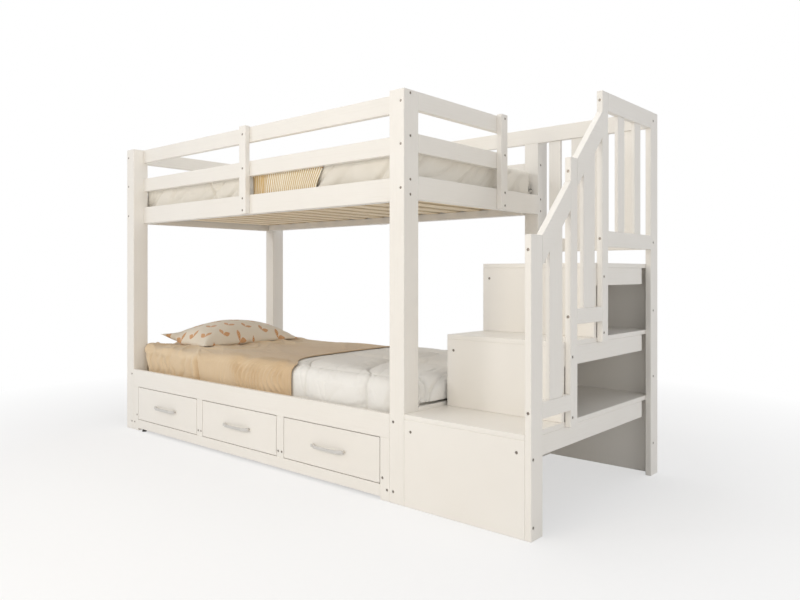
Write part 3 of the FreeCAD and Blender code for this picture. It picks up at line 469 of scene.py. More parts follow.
def grid_object(name, rows, flats):
    """A cloth mesh from rows of points, with the flat cloth's metres as its map."""
    mesh = bpy.data.meshes.new(name)
    width = len(rows[0])
    points = [point for row in rows for point in row]
    faces = []
    for line in range(len(rows) - 1):
        for number in range(width - 1):
            first = line * width + number
            faces.append((first, first + 1, first + width + 1, first + width))
    mesh.from_pydata(points, [], faces)
    layer = mesh.uv_layers.new(name="Flat")
    flat_of = [flat for row in flats for flat in row]
    for loop in mesh.loops:
        layer.data[loop.index].uv = flat_of[loop.vertex_index]
    return add_object(name, mesh)


def link_object(name, data):
    made = bpy.data.objects.new(name, data)
    bpy.context.scene.collection.objects.link(made)
    return made


def add_object(name, mesh):
    mesh.shade_smooth()
    return link_object(name, mesh)


def mesh_of(name, shape):
    mesh = bpy.data.meshes.new(name)
    shape.to_mesh(mesh)
    shape.free()
    return mesh


def raise_cloth(piece, height):
    """Moves each point along the surface's normal by height(point, flat coordinates)."""
    mesh = piece.data
    flat_of = {}
    for loop in mesh.loops:
        flat_of[loop.vertex_index] = mesh.uv_layers.active.data[loop.index].uv
    normals = [vertex.normal.copy() for vertex in mesh.vertices]
    for vertex, normal in zip(mesh.vertices, normals):
        vertex.co += normal * height(vertex.co, flat_of[vertex.index])
    mesh.update()


def apply_modifiers(piece):
    shown = piece.evaluated_get(bpy.context.evaluated_depsgraph_get())
    mesh = bpy.data.meshes.new_from_object(shown)
    piece.modifiers.clear()
    piece.data = mesh


def thicken(piece, thickness):
    """Gives a sheet its thickness, inwards from the outer face."""
    solid = piece.modifiers.new("Thickness", "SOLIDIFY")
    solid.thickness = thickness
    solid.offset = -1.0
    apply_modifiers(piece)
    piece.data.shade_smooth()


def refine(piece):
    finer = piece.modifiers.new("Finer", "SUBSURF")
    finer.levels = finer.render_levels = 1
    apply_modifiers(piece)
    piece.data.shade_smooth()


def dress(piece, material, slot, *nodes):
    """Gives a piece its material, and sets it in place of the CAD nodes it stands for."""
    piece.data.materials.clear()
    piece.data.materials.append(material)
    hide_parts(*nodes)
    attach(piece, BODY)
    return piece


CLOTH_FRAMES = 22
CLOTH_SETTINGS = {
    "quality": 6,
    "mass": 0.3,
    "tension_stiffness": 12.0,
    "compression_stiffness": 12.0,
    "shear_stiffness": 5.0,
    "bending_stiffness": 0.15,
    "air_damping": 4.0,
    "use_pressure": True,
}


def inflate(piece, pinned, pressure, growth, cap):
    """Blows cloth up by simulation, holding the pinned points, and limits how far each one moves."""
    group = piece.vertex_groups.new(name="Held")
    for index, weight in pinned.items():
        group.add([index], weight, "REPLACE")
    before = [vertex.co.copy() for vertex in piece.data.vertices]
    cloth_modifier = piece.modifiers.new("Cloth", "CLOTH")
    settings = cloth_modifier.settings
    for name, value in CLOTH_SETTINGS.items():
        setattr(settings, name, value)
    settings.uniform_pressure_force = pressure
    settings.shrink_min = -growth
    settings.vertex_group_mass = group.name
    settings.effector_weights.gravity = 0.0
    cloth_modifier.collision_settings.use_collision = False
    scene = bpy.context.scene
    for number in range(1, CLOTH_FRAMES + 1):
        scene.frame_set(number)
    apply_modifiers(piece)
    for vertex, start in zip(piece.data.vertices, before):
        moved = vertex.co - start
        if moved.length > cap:
            vertex.co = start + moved * (cap / moved.length)
    piece.data.update()
    scene.frame_set(1)


# ---- bedding ----

LOWER_LOW, LOWER_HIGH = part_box("lower_mattress")
UPPER_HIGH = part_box("upper_mattress")[1]
BLANKET_LOW, BLANKET_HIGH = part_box("blanket")
PILLOW_LOW, PILLOW_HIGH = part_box("pillow")
THROW_LOW, THROW_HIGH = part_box("upper_throw")
POST_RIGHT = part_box("post_front_right")
RAIL_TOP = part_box("lower_right_rail")[1].z

SHEET_CLEARANCE = 0.001
SHEET_SINK = 0.004
SHEET_BEND = 0.028
SHEET_CORNER = 0.03
SHEET_FOOT = 0.012
SHEET_PITCH = 0.012
SHEET_THICKNESS = 0.003
SHEET_WAVE = 0.002
TWIST_AT = 0.61
FOLD_LEAN = 0.66
VALLEY_WIDTH = 0.009
RIDGE_AT = 0.024
RIDGE_WIDTH = 0.016
RIDGE_SHARE = 0.6


def bell(offset, width):
    """1 at its line and near 0 from twice this width on."""
    return math.exp(-(offset / width) ** 2)


def side_fold(offset):
    """A sharp valley with a soft ridge beside it, from the distance to its line."""
    return bell(offset, VALLEY_WIDTH) - RIDGE_SHARE * bell(offset - RIDGE_AT, RIDGE_WIDTH)


def fitted_sheet(name, node, slack, seed):
    """A mattress in its fitted sheet: soft edges, slack folds down the sides."""
    low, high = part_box(node)
    cover = Cover(low, high, high.z - SHEET_SINK, SHEET_BEND, SHEET_CORNER)
    drop = high.z - low.z - SHEET_FOOT
    across, along = (steps(cover.flat_end(axis, -1, drop), cover.flat_end(axis, 1, drop), SHEET_PITCH)
                     for axis in (0, 1))
    rows = [[cover.place(x, y) for x in across] for y in along]
    flats = [[(x, y) for x in across] for y in along]
    piece = grid_object(name, rows, flats)

    def folds(point, flat):
        side = smooth(high.z - point.z, 0.006, 0.05)
        run = flat[0] if min(point.y - low.y, high.y - point.y) < 0.02 else flat[1]
        pleat = ridges((run - 1.1 * point.z) * 7.5, point.z * 3.0 + run, seed) ** 2
        sag = lumps(run * 3.1 - 1.5 * point.z, point.z * 3.0, seed + 5)
        top = lumps(flat[0] * 3.0, flat[1] * 4.0, seed + 9) * (1 - side)
        lift = high.z - point.z
        twist = side_fold(point.x - low.x - TWIST_AT - FOLD_LEAN * lift) if point.y < low.y + 0.02 else 0.0
        loose = -slack * side * (0.75 * pleat + 0.3 * abs(sag) + twist)
        return loose + SHEET_WAVE * top - SHEET_CLEARANCE

    refine(piece)
    raise_cloth(piece, folds)
    thicken(piece, SHEET_THICKNESS)
    return piece


FALL_Y = BLANKET_LOW.y
COVER_TOP = BLANKET_HIGH.z + 0.001
FALL_DROP = COVER_TOP - BLANKET_LOW.z
TUCK_DROP = 0.03
HEM_FRONT = BLANKET_HIGH.x - 0.035
HEM_BACK = HEM_FRONT - 0.205
HEM_EASE = 0.11
HEM_TURN = FALL_Y + 0.02
POST_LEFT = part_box("post_front_left")
HEM_LIFT = 0.005
CORNER_TURN = 0.028
CORNER_SLANT = 0.045
BEHIND_POSTS = 0.042


def hem_x(flat_y):
    """Where the blanket ends and the quilt begins: further back towards the wall."""
    past = max(0.0, flat_y - HEM_TURN) / HEM_EASE
    return HEM_BACK + (HEM_FRONT - HEM_BACK) / (1 + past ** 2)


def front_line(x, z):
    """How much further back than its middle the bedding hangs near the posts."""
    turn = POST_LEFT[1].x + CORNER_SLANT * smooth(COVER_TOP - z, 0.0, FALL_DROP)
    left = 1 - smooth(x, turn, turn + CORNER_TURN)
    right = smooth(x, POST_RIGHT[0].x - 0.05, POST_RIGHT[0].x - 0.008)
    return BEHIND_POSTS * max(left, right)


def hang_back(point):
    """Draws the front fall back behind the posts."""
    share = 1 - smooth(point.y, FALL_Y + 0.03, FALL_Y + 0.13)
    return Vector((point.x, point.y + front_line(point.x, point.z) * share, point.z))


ARC_REACH = 0.12
ARC_BEND = 0.11
ARC_PITCH = 0.029
ARC_HEIGHT = 0.010
CREASE_WIDTH = 0.007
CREASE_DEPTH = 0.016
SHOULDER_OFFSET = 0.022
SHOULDER_WIDTH = 0.016
SHOULDER_HEIGHT = 0.012
PLEAT_DEPTH = 0.010
WAVE_HEIGHT = 0.006
LONG_FOLD_HEIGHT = 0.012
BUNCH_HEIGHT = 0.011
FELT_HEIGHT = 0.0012
EDGE_DROP = 0.05
CLOTH_PITCH = 0.009
BLANKET_BEND = 0.04
BLANKET_CORNER = 0.05
BLANKET_THICKNESS = 0.004
CREASE_AT = 0.60
CREASE_LEAN = 0.22


def crease_x(z):
    return BLANKET_LOW.x + CREASE_AT - CREASE_LEAN * (z - BLANKET_LOW.z)


def blanket_folds(point, flat, arc_height):
    """Soft waves on top, fine pleats by the pillow, arcs round the quilt's corner and one deep crease."""
    x, z = point.x, point.z
    front = smooth(COVER_TOP - z, 0.0, EDGE_DROP) * smooth(-point.y, -FALL_Y - 0.07, -FALL_Y - 0.035)
    top = 1 - front
    rise = min(ARC_REACH, abs(flat[1] - arc_height))
    before_hem = hem_x(flat[1]) - flat[0]
    near_foot = smooth(before_hem, 0.03, 0.08) * (1 - smooth(before_hem, 0.36, 0.62))
    near_foot *= 1 - smooth(flat[1] - arc_height, 0.10, 0.2)
    wander = lumps(flat[0] * 5, flat[1] * 6, 2.0)
    arc_phase = (flat[0] - rise * rise / ARC_BEND) / ARC_PITCH + 1.7 * wander
    arcs = 1 - abs(math.sin(math.pi * arc_phase))
    strength = max(0.05, 0.8 + 1.5 * lumps(flat[0] * 9, flat[1] * 7, 61.0))
    near_head = 1 - smooth(x, BLANKET_LOW.x + 0.42, BLANKET_LOW.x + 0.72)
    pleats = ridges(x * 15 + 0.8 * lumps(x * 4, z * 14, 7.0) + 3.0 * z, z * 6, 4.0) ** 2
    lean = crease_x(z)
    crease = bell(x - lean, CREASE_WIDTH)
    shoulder = bell(x - lean + SHOULDER_OFFSET, SHOULDER_WIDTH)
    height = ARC_HEIGHT * arcs * strength * near_foot
    height += front * (SHOULDER_HEIGHT * shoulder - CREASE_DEPTH * crease - PLEAT_DEPTH * pleats * near_head)
    broad = lumps(flat[0] * 2.4, flat[1] * 4.5, 11.0)
    long_folds = ridges(flat[0] * 1.3 + flat[1] * 3.1, flat[0] * 0.8, 13.0) ** 3
    bunched = ridges(flat[0] * 7.0 + 1.5 * broad, flat[1] * 9.0, 15.0) ** 3
    near_pillow = 1 - smooth(flat[0], PILLOW_HIGH.x + 0.05, PILLOW_HIGH.x + 0.35)
    inner = top * smooth(before_hem, 0.02, 0.12)
    on_top = WAVE_HEIGHT * broad + LONG_FOLD_HEIGHT * long_folds
    height += inner * (on_top + BUNCH_HEIGHT * bunched * near_pillow)
    return height + FELT_HEIGHT * lumps(flat[0] * 22, flat[1] * 22, 17.0) + hem_ridge(flat)


HEM_WIDTH = 0.018
HEM_RISE = 0.0015


def hem_ridge(flat):
    """The turned hem stands up a little, with its stitch line sunk beside it."""
    inside = hem_x(flat[1]) - flat[0]
    turned = 1 - smooth(inside, HEM_WIDTH - 0.004, HEM_WIDTH)
    return HEM_RISE * (turned - bell(inside - HEM_WIDTH, 0.004))


def make_blanket(material):
    """A wool blanket over the head half, its front edge tucked behind the front board."""
    low = Vector((LOWER_LOW.x - 0.008, FALL_Y, 0))
    high = Vector((LOWER_HIGH.x + 0.5, LOWER_HIGH.y + 0.004, 0))
    cover = Cover(low, high, COVER_TOP, BLANKET_BEND, BLANKET_CORNER)
    start = cover.flat_end(0, -1, COVER_TOP - RAIL_TOP - 0.012)
    along = steps(cover.flat_end(1, -1, FALL_DROP), cover.flat_end(1, 1, TUCK_DROP), CLOTH_PITCH)
    count = round((HEM_FRONT - start) / CLOTH_PITCH)
    rows, flats = [], []
    for y in along:
        end = hem_x(y)
        across = spread(start, end, count)
        row = [hang_back(cover.place(x, y)) for x in across]
        for point in row:
            near_hem = smooth(point.x, end - 0.14, end - 0.02)
            point.z += HEM_LIFT * near_hem * smooth(point.z, COVER_TOP - EDGE_DROP, COVER_TOP)
        rows.append(row)
        flats.append([(x, y) for x in across])
    piece = grid_object("blanket_cloth", rows, flats)
    refine(piece)
    arc_height = along[0] + FALL_DROP * 0.45
    raise_cloth(piece, lambda point, flat: blanket_folds(point, flat, arc_height))
    thicken(piece, BLANKET_THICKNESS)
    dress(piece, material, "blanket_wool", "blanket")
    return piece


QUILT_BOX = 0.3675
QUILT_BORDER = 0.085
QUILT_TOP = BLANKET_HIGH.z
QUILT_REACH = 0.016
QUILT_PUFF = 0.013
SEAM_SLOPE = 0.022
SEAM_AT_TOP = FALL_Y + 0.055
UNDER_HEM = 0.03
QUILT_BEND = 0.045
QUILT_CORNER = 0.05
QUILT_THICKNESS = 0.006
QUILT_PRESSURE = 2.0
QUILT_GROWTH = 0.012
QUILT_RISE = 0.006


def near_seam(value, first, pitch):
    """Distance to the nearest seam of an even row."""
    return abs((value - first + pitch / 2) % pitch - pitch / 2)


def seam_distance(flat):
    """Seams across run beside the blanket's hem, and seams along start at the front edge of the top."""
    beyond_hem = flat[0] - hem_x(flat[1])
    return min(near_seam(beyond_hem, QUILT_BORDER, QUILT_BOX), near_seam(flat[1], SEAM_AT_TOP, QUILT_BOX))


def quilt_puff(flat):
    """How far the filling lifts the cloth: nothing at a seam, more towards the middle of a box."""
    beyond_hem = flat[0] - hem_x(flat[1])
    rise = 1 - math.exp(-seam_distance(flat) / SEAM_SLOPE)
    full = 0.35 + 0.65 * smooth(beyond_hem, QUILT_BORDER, QUILT_BORDER + 0.08)
    return QUILT_PUFF * rise * full * smooth(beyond_hem, -0.01, 0.05)


def make_quilt(material):
    """A down quilt in sewn boxes, blown up between its seams, over the foot half."""
    low = Vector((LOWER_LOW.x - 0.5, FALL_Y + 0.010, 0))
    high = Vector((LOWER_HIGH.x + QUILT_REACH, LOWER_HIGH.y + 0.002, 0))
    cover = Cover(low, high, QUILT_TOP, QUILT_BEND, QUILT_CORNER)
    pitch = 0.008
    along = steps(cover.flat_end(1, -1, FALL_DROP - 0.002), cover.flat_end(1, 1, TUCK_DROP), pitch)
    end = cover.flat_end(0, 1, QUILT_TOP - RAIL_TOP - 0.010)
    count = round((end - HEM_BACK) / pitch)
    rows, flats = [], []
    for y in along:
        across = spread(hem_x(y) - UNDER_HEM, end, count)
        rows.append([hang_back(cover.place(x, y)) for x in across])
        flats.append([(x, y) for x in across])
    piece = grid_object("quilt_cloth", rows, flats)
    raise_cloth(piece, lambda point, flat: quilt_puff(flat))
    inflate(piece, held_points(flats, pitch), QUILT_PRESSURE, QUILT_GROWTH, QUILT_RISE)
    refine(piece)
    raise_cloth(piece, lambda point, flat: quilt_stitches(flat))
    thicken(piece, QUILT_THICKNESS)
    dress(piece, material, "quilt_cotton", "quilt")
    return piece


def held_points(flats, pitch):
    """The points on the rim, the border and the seams, which the filling can't lift."""
    held = {}
    width = len(flats[0])
    for line, row in enumerate(flats):
        for number, flat in enumerate(row):
            rim = line in (0, len(flats) - 1) or number in (0, width - 1)
            border = flat[0] - hem_x(flat[1]) < QUILT_BORDER
            if rim or border or seam_distance(flat) < pitch * 0.55:
                held[line * width + number] = 1.0
    return held


FAN_BEYOND_HEM = 0.235
FAN_BELOW = 0.12
STITCH_WIDTH = 0.005
STITCH_DEPTH = 0.006
PUCKER_DEPTH = 0.001
LONG_PULL_DEPTH = 0.0035


def fan_wrinkle(flat):
    """Creases that open upwards in a fan from the front board, 1 in the middle of each."""
    across = flat[0] - HEM_FRONT - FAN_BEYOND_HEM
    up = flat[1] - FALL_Y + FAN_BELOW
    away = math.hypot(across, up)
    turn = math.atan2(across, up) + 0.25 * lumps(flat[0] * 12, flat[1] * 12, 71.0)
    line = (0.5 + 0.5 * math.cos(turn * 11)) ** 5
    ends = smooth(away, 0.015, 0.05) * (1 - smooth(away, 0.09, 0.17))
    return line * ends * (1 - smooth(abs(turn), 0.6, 0.9))


def quilt_stitches(flat):
    """The sunk stitch line, and the puckers that run away from it."""
    seam = seam_distance(flat)
    stitch = bell(seam, STITCH_WIDTH)
    pull = smooth(seam, 0.0, 0.012) * (1 - smooth(seam, 0.04, 0.14))
    pucker = ridges(flat[0] * 22, flat[1] * 22, 23.0) ** 2
    long_pull = ridges(flat[0] * 11 + 2.5 * flat[1], flat[1] * 2.0, 27.0) ** 5
    fine = lumps(flat[0] * 30, flat[1] * 30, 29.0)
    fine -= 8 * fan_wrinkle(flat)
    sunk = STITCH_DEPTH * stitch + PUCKER_DEPTH * pull * pucker + LONG_PULL_DEPTH * long_pull * pull
    return 0.0003 * fine - sunk


PILLOW_PITCH = 0.014
PILLOW_SPARE_X = 0.022
PILLOW_SPARE_Y = 0.025
PILLOW_RISE = 0.045
PILLOW_PRESSURE = 7.0
PILLOW_REACH = 0.09


def pillow_mesh(centre, half):
    """Two sides that share their rim, with the flat cloth's metres as their map."""
    count_x, count_y = round(2 * half.x / PILLOW_PITCH), round(2 * half.y / PILLOW_PITCH)
    shape = bmesh.new()
    flat_layer = shape.loops.layers.uv.new("Flat")
    sides = []
    for lift in (1, -1):
        sides.append([[pillow_point(shape, centre, half, i / count_x, j / count_y, lift, sides)
                       for i in range(count_x + 1)] for j in range(count_y + 1)])
    for side, lift in zip(sides, (1, -1)):
        for j in range(count_y):
            for i in range(count_x):
                corners = [side[j][i], side[j][i + 1], side[j + 1][i + 1], side[j + 1][i]]
                face = shape.faces.new(corners if lift > 0 else corners[::-1])
                for loop in face.loops:
                    loop[flat_layer].uv = (loop.vert.co.x, loop.vert.co.y)
    return mesh_of("pillow_cloth", shape)


def make_pillow(material):
    """A sewn case blown up by its filling, full in the middle, thin at its four ears."""
    low, high = PILLOW_LOW, PILLOW_HIGH
    centre = (low + high) / 2
    half = Vector(((high.x - low.x) / 2 + PILLOW_SPARE_X, (high.y - low.y) / 2 + PILLOW_SPARE_Y, 0))
    piece = add_object("pillow_cloth", pillow_mesh(centre, half))
    starts = [vertex.co.copy() for vertex in piece.data.vertices]
    inflate(piece, {}, PILLOW_PRESSURE, 0.0, PILLOW_REACH)
    settle_pillow(piece, starts, low, high)
    refine(piece)
    raise_cloth(piece, lambda point, flat: pillow_creases(point, flat, centre, half))
    dress(piece, material, "pillow_linen", "pillow")
    return piece


def pillow_point(shape, centre, half, share_x, share_y, lift, sides):
    """A point of one side; the sides share their rim."""
    rim = share_x in (0.0, 1.0) or share_y in (0.0, 1.0)
    if rim and sides:
        width = len(sides[0][0]) - 1
        tall = len(sides[0]) - 1
        return sides[0][round(share_y * tall)][round(share_x * width)]
    x, y = 2 * share_x - 1, 2 * share_y - 1
    crown = (1 - x * x) ** 0.65 * (1 - y * y) ** 0.6
    place = Vector((centre.x + half.x * x, centre.y + half.y * y, centre.z + lift * PILLOW_RISE * crown))
    return shape.verts.new(place)


PILLOW_EVENNESS = 0.8
PILLOW_SEAM = 0.3
PILLOW_PLUMP = 0.007
PILLOW_TILT = 0.022
EAR_OUT_X = 0.02
EAR_OUT_Y = 0.03


def spans(points):
    """Lowest and highest value along each axis."""
    return [(min(p[axis] for p in points), max(p[axis] for p in points)) for axis in range(3)]


def settle_pillow(piece, starts, low, high):
    """Fits the blown-up case to its box, evens out its buckles, and lays its underside on the bed."""
    blown, even = spans([vertex.co for vertex in piece.data.vertices]), spans(starts)
    seam = low.z + PILLOW_SEAM * (high.z - low.z)
    middle_x, middle_y = (low.x + high.x) / 2, (low.y + high.y) / 2
    for vertex, start in zip(piece.data.vertices, starts):
        place = vertex.co
        shares = []
        for axis in range(3):
            wild = (place[axis] - blown[axis][0]) / (blown[axis][1] - blown[axis][0])
            calm = (start[axis] - even[axis][0]) / (even[axis][1] - even[axis][0])
            shares.append(wild + (calm - wild) * PILLOW_EVENNESS)
        place.x = low.x + shares[0] * (high.x - low.x)
        place.y = low.y + shares[1] * (high.y - low.y)
        lift = 2 * shares[2] - 1
        above = high.z + PILLOW_PLUMP - seam
        place.z = seam + (lift * above if lift > 0 else max(-1.0, 2 * lift) * (seam - low.z))
        far_x = abs(place.x - middle_x) / (high.x - low.x)
        far_y = abs(place.y - middle_y) / (high.y - low.y)
        head = smooth(middle_x - place.x, 0.05, 0.2)
        place.z += PILLOW_TILT * (2 * head - 1) * smooth(2 * max(far_x, far_y), 0.8, 1.0)
        ear = smooth(far_x, 0.3, 0.5)
        ear *= smooth(far_y, 0.36, 0.5)
        place.x += math.copysign(EAR_OUT_X * ear, place.x - middle_x)
        place.y += math.copysign(EAR_OUT_Y * ear, place.y - middle_y)
    piece.data.update()


GRAIN_HEIGHT = 0.0012
RAY_DEPTH = 0.003
SLACK_HEIGHT = 0.004


def pillow_creases(point, flat, centre, half):
    """Puckers that run in from the seam and the ears."""
    x, y = (point.x - centre.x) / half.x, (point.y - centre.y) / half.y
    far = max(abs(x), abs(y))
    rim = smooth(far, 0.6, 0.95)
    rays = ridges(point.x * 26 - point.y * 9, point.y * 26 + point.x * 9, 31.0) ** 2
    slack = lumps(point.x * 5.0, point.y * 5.0, 33.0)
    grain = lumps(point.x * 16, point.y * 16, 37.0)
    return GRAIN_HEIGHT * grain - RAY_DEPTH * rim * rays + SLACK_HEIGHT * slack


THROW_INSET = 0.004
THROW_GATHER = 0.055
THROW_BEND = 0.03
THROW_PITCH = 0.006
THROW_THICKNESS = 0.003
THROW_PLEAT = 0.0022
THROW_FOLD = 0.007
THROW_LIFT = 0.0025
THROW_WAVE = 0.003


def gathered(point, low, high, top):
    """Draws the hanging end of the throw together towards its left."""
    share = (point.x - low.x) / (high.x - low.x)
    drawn = THROW_GATHER * share * smooth(top - point.z, 0.0, top - low.z)
    return Vector((point.x - drawn, point.y, point.z))


def make_throw(material):
    """A striped throw across the upper mattress, its end hanging behind the rails."""
    low, high = THROW_LOW, THROW_HIGH
    top = UPPER_HIGH.z + 0.003
    cover_low = Vector((low.x - 1, low.y + 0.0005, 0))
    cover_high = Vector((high.x + 1, UPPER_HIGH.y + 0.3, 0))
    cover = Cover(cover_low, cover_high, top, THROW_BEND, THROW_BEND)
    across = steps(low.x + THROW_INSET, high.x - THROW_INSET, THROW_PITCH)
    along = steps(cover.flat_end(1, -1, top - low.z), high.y, CLOTH_PITCH)
    rows = [[gathered(cover.place(x, y), low, high, top) for x in across] for y in along]
    flats = [[(x, y) for x in across] for y in along]
    piece = grid_object("throw_cloth", rows, flats)

    def folds(point, flat):
        front = smooth(top - point.z, 0.0, EDGE_DROP)
        pleats = lumps(point.x * 22 + 0.7 * lumps(point.x * 5, point.z * 9, 41.0), point.z * 4, 43.0)
        left = 1 - smooth(point.x, low.x + 0.09, low.x + 0.18)
        deep = ridges(point.x * 16 + 1.5 * point.z, point.z * 3, 45.0) ** 2
        waves = lumps(point.x * 6, flat[1] * 3.5, 47.0)
        hanging = THROW_PLEAT * pleats - THROW_FOLD * left * deep
        return front * hanging + (1 - front) * (THROW_LIFT + THROW_WAVE * waves)

    refine(piece)
    raise_cloth(piece, folds)
    thicken(piece, THROW_THICKNESS)
    dress(piece, material, "throw_weave", "upper_throw")


def make_bedding():
    ticking = cloth("mattress_ticking", (0.88, 0.84, 0.765, 1), (0.81, 0.765, 0.68, 1), 0.0011).material
    for name, node, slack, seed in (("lower_mattress_cover", "lower_mattress", 0.002, 3.0),
                                    ("upper_mattress_cover", "upper_mattress", 0.019, 53.0)):
        piece = dress(fitted_sheet(name, node, slack, seed), ticking, "mattress_ticking", node)
    blanket = make_blanket(wool())
    cotton = cloth("quilt_cotton", (0.90, 0.885, 0.85, 1), (0.85, 0.83, 0.79, 1), 0.0009, depth=0.00015)
    make_quilt(cotton.material)
    make_pillow(printed_linen())
    make_throw(straw_stripes())


# ---- hardware ----

HEAD_SIDES = 24
SOCKET_SHARE = 0.5
SOCKET_DEPTH = 0.002
HEAD_EASE = 0.0006


def hex_bolts(material):
    """Round heads with a hexagon socket, one in the place of each CAD head."""
    shape = bmesh.new()
    for low, high in head_boxes():
        add_head(shape, low, high)
    piece = link_object("bolt_heads", mesh_of("bolt_heads", shape))
    dress(piece, material, "bolt_steel", "bolts")


def head_boxes():
    """Lowest and highest corner of each separate head in the CAD node."""
    shape = bmesh.new()
    shape.from_mesh(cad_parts["bolts"].data)
    bmesh.ops.remove_doubles(shape, verts=shape.verts, dist=1e-5)
    unseen = set(shape.verts)
    boxes = []
    while unseen:
        seed = unseen.pop()
        group, border = [seed], [seed]
        while border:
            vertex = border.pop()
            for edge in vertex.link_edges:
                other = edge.other_vert(vertex)
                if other in unseen:
                    unseen.remove(other)
                    group.append(other)
                    border.append(other)
        low = Vector([min(v.co[axis] for v in group) for axis in range(3)])
        high = Vector([max(v.co[axis] for v in group) for axis in range(3)])
        boxes.append((low, high))
    shape.free()
    return sorted(boxes, key=lambda box: tuple(box[0]))


def outward(low, high):
    """The way a head faces: its thin side, away from the middle of the bed."""
    size = high - low
    if size.y < size.x:
        return Vector((0, -1, 0))
    return Vector((1, 0, 0)) if low.x > 0 else Vector((-1, 0, 0))


def head_ring(radius, height, corners):
    """Points round a head's axis, on a circle or on a hexagon."""
    points = []
    for number in range(HEAD_SIDES):
        angle = 2 * math.pi * number / HEAD_SIDES
        reach = radius
        if corners == 6:
            sector = (angle % (math.pi / 3)) - math.pi / 6
            reach = radius * math.cos(math.pi / 6) / math.cos(sector)
        points.append(Vector((reach * math.cos(angle), reach * math.sin(angle), height)))
    return points


def add_head(shape, low, high):
    """A lathe-like head: rim, eased edge, flat face, then the socket's hexagon sunk into it."""
    way = outward(low, high)
    centre = (low + high) / 2
    size = high - low
    depth = min(size)
    radius = size.z / 2
    turn = way.to_track_quat("Z", "Y")
    rings = [
        (radius, -depth / 2, HEAD_SIDES),
        (radius, depth / 2 - HEAD_EASE, HEAD_SIDES),
        (radius - HEAD_EASE, depth / 2, HEAD_SIDES),
        (radius * SOCKET_SHARE, depth / 2, 6),
        (radius * SOCKET_SHARE, depth / 2 - SOCKET_DEPTH, 6),
    ]
    loops = [[shape.verts.new(centre + turn @ spot) for spot in head_ring(*ring)] for ring in rings]
    for inner, outer in zip(loops, loops[1:]):
        for number in range(HEAD_SIDES):
            after = (number + 1) % HEAD_SIDES
            shape.faces.new((inner[number], inner[after], outer[after], outer[number]))
    shape.faces.new(loops[0][::-1])
    shape.faces.new(loops[-1])


GLIDE_RADIUS = 0.012
GLIDE_INSET = 0.05
GLIDE_TAPER = 0.8


def make_glide(material):
    """A small round foot under the left end of the toe rail."""
    low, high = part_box("drawer_toe_rail")
    shape = bmesh.new()
    made = bmesh.ops.create_cone(shape, cap_ends=True, segments=28, radius1=GLIDE_RADIUS,
                                 radius2=GLIDE_RADIUS * GLIDE_TAPER, depth=low.z)
    place = Vector((low.x + GLIDE_INSET, (low.y + high.y) / 2, low.z / 2))
    bmesh.ops.translate(shape, verts=made["verts"], vec=place)
    piece = add_object("toe_rail_glide", mesh_of("toe_rail_glide", shape))
    piece.data.materials.append(material)
    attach(piece, BODY)


# ---- frame finish ----

GRAIN_OF_GROUPS = {
    "guard_uprights": "z",
    "drawer_stiles": "z",
    "stair_guard_slats": "z",
    "stair_guard_rails": "y",
    "handrail_slopes": "y",
    "stair_side_boards": "y",
}
PANELS = ("stair_riser", "stair_tread", "stair_bed_side", "stair_back_panel")
PINE = ("upper_slats", "lower_slats", "drawer_runners")


def longest_axis(node):
    low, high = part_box(node)
    size = high - low
    return "xyz"[max(range(3), key=lambda axis: size[axis])]


def finish_frame():
    """Gives every CAD node that shows its own finish."""
    paint = {axis: painted_wood(axis) for axis in "xyz"}
    panel = painted_panel()
    pine = bare_pine("y", "pine", (0.93, 0.80, 0.60, 1), (0.84, 0.69, 0.48, 1), (0.40, 0.22, 0.10, 1))
    board = bare_pine("y", "drawer_board", (0.74, 0.64, 0.50, 1), (0.65, 0.54, 0.39, 1), (0.5, 0.38, 0.25, 1))
    nickel = brushed_nickel()
    for node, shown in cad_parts.items():
        if node in PINE:
            material = pine
        elif node.endswith("_box"):
            material = board
        elif node.endswith("_pull"):
            material = nickel
        elif node.startswith(PANELS) or (node.startswith("drawer") and node.endswith("_front")):
            material = panel
        else:
            material = paint[GRAIN_OF_GROUPS.get(node) or longest_axis(node)]
        shown.data.materials.clear()
        shown.data.materials.append(material)


# ---- studio ----

CAMERA_PLACE = (2.4594, -2.4937, 0.8628)
CAMERA_TURN = math.radians(41.058)
LENS = 31.77
HORIZON_SHIFT = -0.0336
FLOOR_SIZE = 60.0
FLOOR_DROP = 0.0005
FADE_FROM = 1.6
FADE_TO = 3.2
FILL_STRENGTH = 0.55


def make_camera():
    data = bpy.data.cameras.new("camera")
    data.lens = LENS
    data.shift_y = HORIZON_SHIFT
    camera = link_object("camera", data)
    camera.location = CAMERA_PLACE
    camera.rotation_euler = Euler((math.pi / 2, 0, CAMERA_TURN))
    bpy.context.scene.camera = camera


def seen_directly(nodes):
    """1 for a ray from the eye or from a shiny surface, 0 for the light that fills the scene."""
    rays = nodes.node("ShaderNodeLightPath").outputs
    seen = nodes.math("MAXIMUM", rays["Is Camera Ray"], rays["Is Glossy Ray"])
    return nodes.math("MAXIMUM", seen, rays["Is Transmission Ray"])


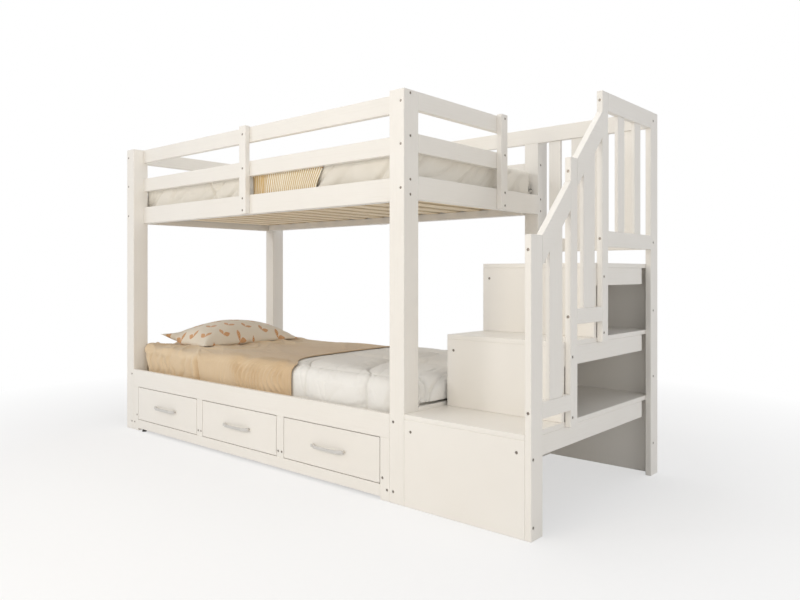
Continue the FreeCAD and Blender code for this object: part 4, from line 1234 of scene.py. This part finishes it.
def make_floor():
    """A pale floor that keeps the bed's shadow and fades into the white background."""
    shader = Shader("floor", 0.9)
    grain = shader.noise(40.0, detail=2.0)
    shader.color(shader.mix(grain, (0.87, 0.86, 0.85, 1), (0.90, 0.89, 0.88, 1)))
    glow = shader.node("ShaderNodeEmission")
    far = shader.node("ShaderNodeVectorMath", {0: shader.place}, operation="LENGTH")
    share = shader.span(far.outputs["Value"], FADE_FROM, FADE_TO, 0.55, 1.0)
    white = shader.math("MULTIPLY", seen_directly(shader), share)
    blend = shader.blend(white, shader.surface.outputs[0], glow.outputs[0])
    shader.feed(shader.tree.nodes["Material Output"].inputs["Surface"], blend)
    mesh = bpy.data.meshes.new("floor")
    reach = FLOOR_SIZE / 2
    corners = [(-reach, -reach, 0), (reach, -reach, 0), (reach, reach, 0), (-reach, reach, 0)]
    mesh.from_pydata(corners, [], [(0, 1, 2, 3)])
    floor = add_object("floor", mesh)
    floor.location.z = -FLOOR_DROP
    floor.data.materials.append(shader.material)


def make_world():
    """White to the eye and to shiny surfaces, and a soft fill light for the rest."""
    world = bpy.data.worlds.new("studio")
    world.use_nodes = True
    bpy.context.scene.world = world
    nodes = Nodes(world.node_tree)
    fill = nodes.tree.nodes["Background"]
    fill.inputs["Color"].default_value = (0.96, 0.975, 1.0, 1)
    fill.inputs["Strength"].default_value = FILL_STRENGTH
    white = nodes.node("ShaderNodeBackground", {"Color": (1, 1, 1, 1)})
    blend = nodes.blend(seen_directly(nodes), fill.outputs[0], white.outputs[0])
    nodes.feed(nodes.tree.nodes["World Output"].inputs["Surface"], blend)


def make_lamp(name, place, aim, size, power, tint):
    data = bpy.data.lights.new(name, "AREA")
    data.shape = "RECTANGLE"
    data.size, data.size_y = size
    data.energy = power
    data.color = tint
    lamp = link_object(name, data)
    lamp.location = place
    lamp.rotation_euler = (Vector(aim) - Vector(place)).to_track_quat("-Z", "Y").to_euler()


def make_studio():
    make_camera()
    make_floor()
    make_world()
    make_lamp("key", (-4.0, -6.2, 3.4), (0.2, 0.0, 0.7), (1.6, 1.3), 82.0, (1.0, 0.99, 0.98))
    make_lamp("glow", (0.5, -3.5, 1.6), (0.4, 0.0, 0.8), (1.2, 1.2), 25.0, (1.0, 0.91, 0.76))
    make_lamp("side", (5.6, -1.8, 1.5), (0.6, 0.3, 0.7), (2.0, 2.0), 33.0, (1.0, 0.97, 0.92))
    make_lamp("top", (0.0, 0.0, 4.2), (0.0, 0.0, 0.0), (3.5, 2.5), 45.0, (1.0, 0.98, 0.95))
    bpy.context.scene.view_settings.view_transform = "Standard"


make_studio()
finish_frame()
hex_bolts(bolt_steel())
make_glide(black_plastic())
make_bedding()
